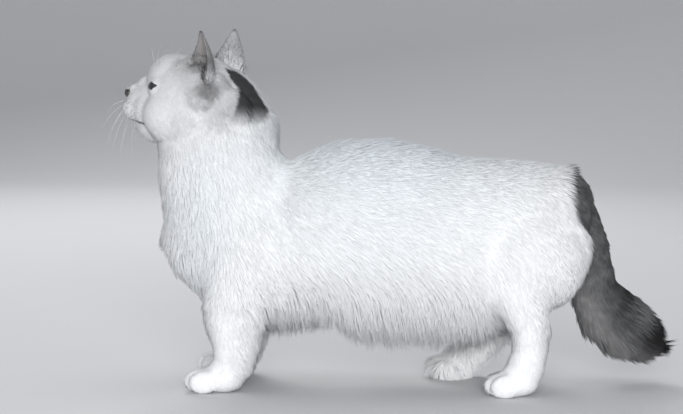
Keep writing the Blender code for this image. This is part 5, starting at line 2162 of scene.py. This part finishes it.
@dataclass(frozen=True)
class Studio:
    """The floor, the backdrop, the lights, the sky and the camera."""

    target: Vector = Vector((-0.0417, 0.0, 0.139))
    azimuth: float = math.radians(5.0)
    elevation: float = math.radians(5.5)
    distance: float = 1.6
    lens: float = 108.12
    lamps: tuple[Lamp, ...] = (
        Lamp("key", (0.20, -2.2, 0.50), 1.0, 49.0),
        Lamp("fill", (-1.4, -1.5, 0.50), 1.3, 2.0),
        Lamp("top", (0.3, 0.5, 1.9), 1.2, 4.0),
        Lamp("back", (-0.5, 1.5, 1.3), 1.0, 16.0),
    )
    lit: Vector = Vector((0.0, 0.0, 0.12))
    sky: Colour = (0.92, 0.94, 1.0)
    sky_strength: float = 0.42
    half_floor: float = 3.0

    def build(self, centring: Centring) -> None:
        """Makes the studio.

        Args:
            centring: Where the cat stands, which the camera follows.
        """
        self._floor()
        self._camera(centring)
        for lamp in self.lamps:
            self._light(lamp)
        world = bpy.data.worlds.new("studio")
        world.use_nodes = True
        inputs = world.node_tree.nodes["Background"].inputs
        inputs["Color"].default_value = (*self.sky, 1.0)
        inputs["Strength"].default_value = self.sky_strength
        scene = bpy.context.scene
        scene.world = world
        scene.view_settings.view_transform = "Standard"
        scene.cycles.max_bounces = 16
        scene.cycles.diffuse_bounces = 8

    def _floor(self) -> None:
        """A floor that turns up into a backdrop."""
        shape = bmesh.new()
        bmesh.ops.create_grid(shape, x_segments=1, y_segments=1, size=self.half_floor)
        near_edge = self.half_floor - 0.1
        fold = [edge for edge in shape.edges if all(vert.co.y > near_edge for vert in edge.verts)]
        made = bmesh.ops.extrude_edge_only(shape, edges=fold)
        raised = [item for item in made["geom"] if isinstance(item, bmesh.types.BMVert)]
        bmesh.ops.translate(shape, verts=raised, vec=(0.0, 0.0, self.half_floor))
        bmesh.ops.bevel(
            shape,
            geom=fold,
            offset=1.2,
            offset_type="OFFSET",
            segments=24,
            profile=0.5,
            affect="EDGES",
            material=-1,
        )
        floor = add_object("floor", shape)
        smooth_faces(floor)
        floor.data.materials.append(FloorFinish().make())

    def _camera(self, centring: Centring) -> None:
        """The camera, at the photograph's angle."""
        flat = math.cos(self.elevation)
        sine, cosine = math.sin(self.azimuth), math.cos(self.azimuth)
        back = Vector((sine * flat, -cosine * flat, math.sin(self.elevation)))
        data = bpy.data.cameras.new("camera")
        data.lens = self.lens
        data.clip_end = 30.0
        camera = bpy.data.objects.new("camera", data)
        camera.rotation_euler = back.to_track_quat("Z", "Y").to_euler()
        camera.location = self.target + centring.shift + back * self.distance
        bpy.context.scene.collection.objects.link(camera)
        bpy.context.scene.camera = camera

    def _light(self, lamp: Lamp) -> None:
        """Hangs one light, so that it faces the cat."""
        data = bpy.data.lights.new(lamp.name, "AREA")
        data.size = lamp.width
        data.energy = lamp.power
        made = bpy.data.objects.new(lamp.name, data)
        made.location = lamp.place
        made.rotation_euler = (Vector(lamp.place) - self.lit).to_track_quat("Z", "Y").to_euler()
        bpy.context.scene.collection.objects.link(made)


def main() -> None:
    """Builds the cat's looks in order."""
    logging.basicConfig(level=logging.INFO, format="%(message)s")
    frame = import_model()
    centring = Centring.from_eye(frame["nodes"]["eye_left"])
    LOG.info("centred by %s", tuple(round(part, 5) for part in centring.shift))
    Studio().build(centring)
    skin = Skin(centring)
    skin.dress()
    LOG.info("skin: %d faces", len(skin.piece.data.polygons))
    Coat(skin, centring).dress()
    eyes = Eyes(centring)
    whiskers = Whiskers(skin, centring)
    for side in Side:
        eyes.build(side)
        whiskers.build(side)
    Nose(centring).build()


if __name__ == "__main__":
    main()
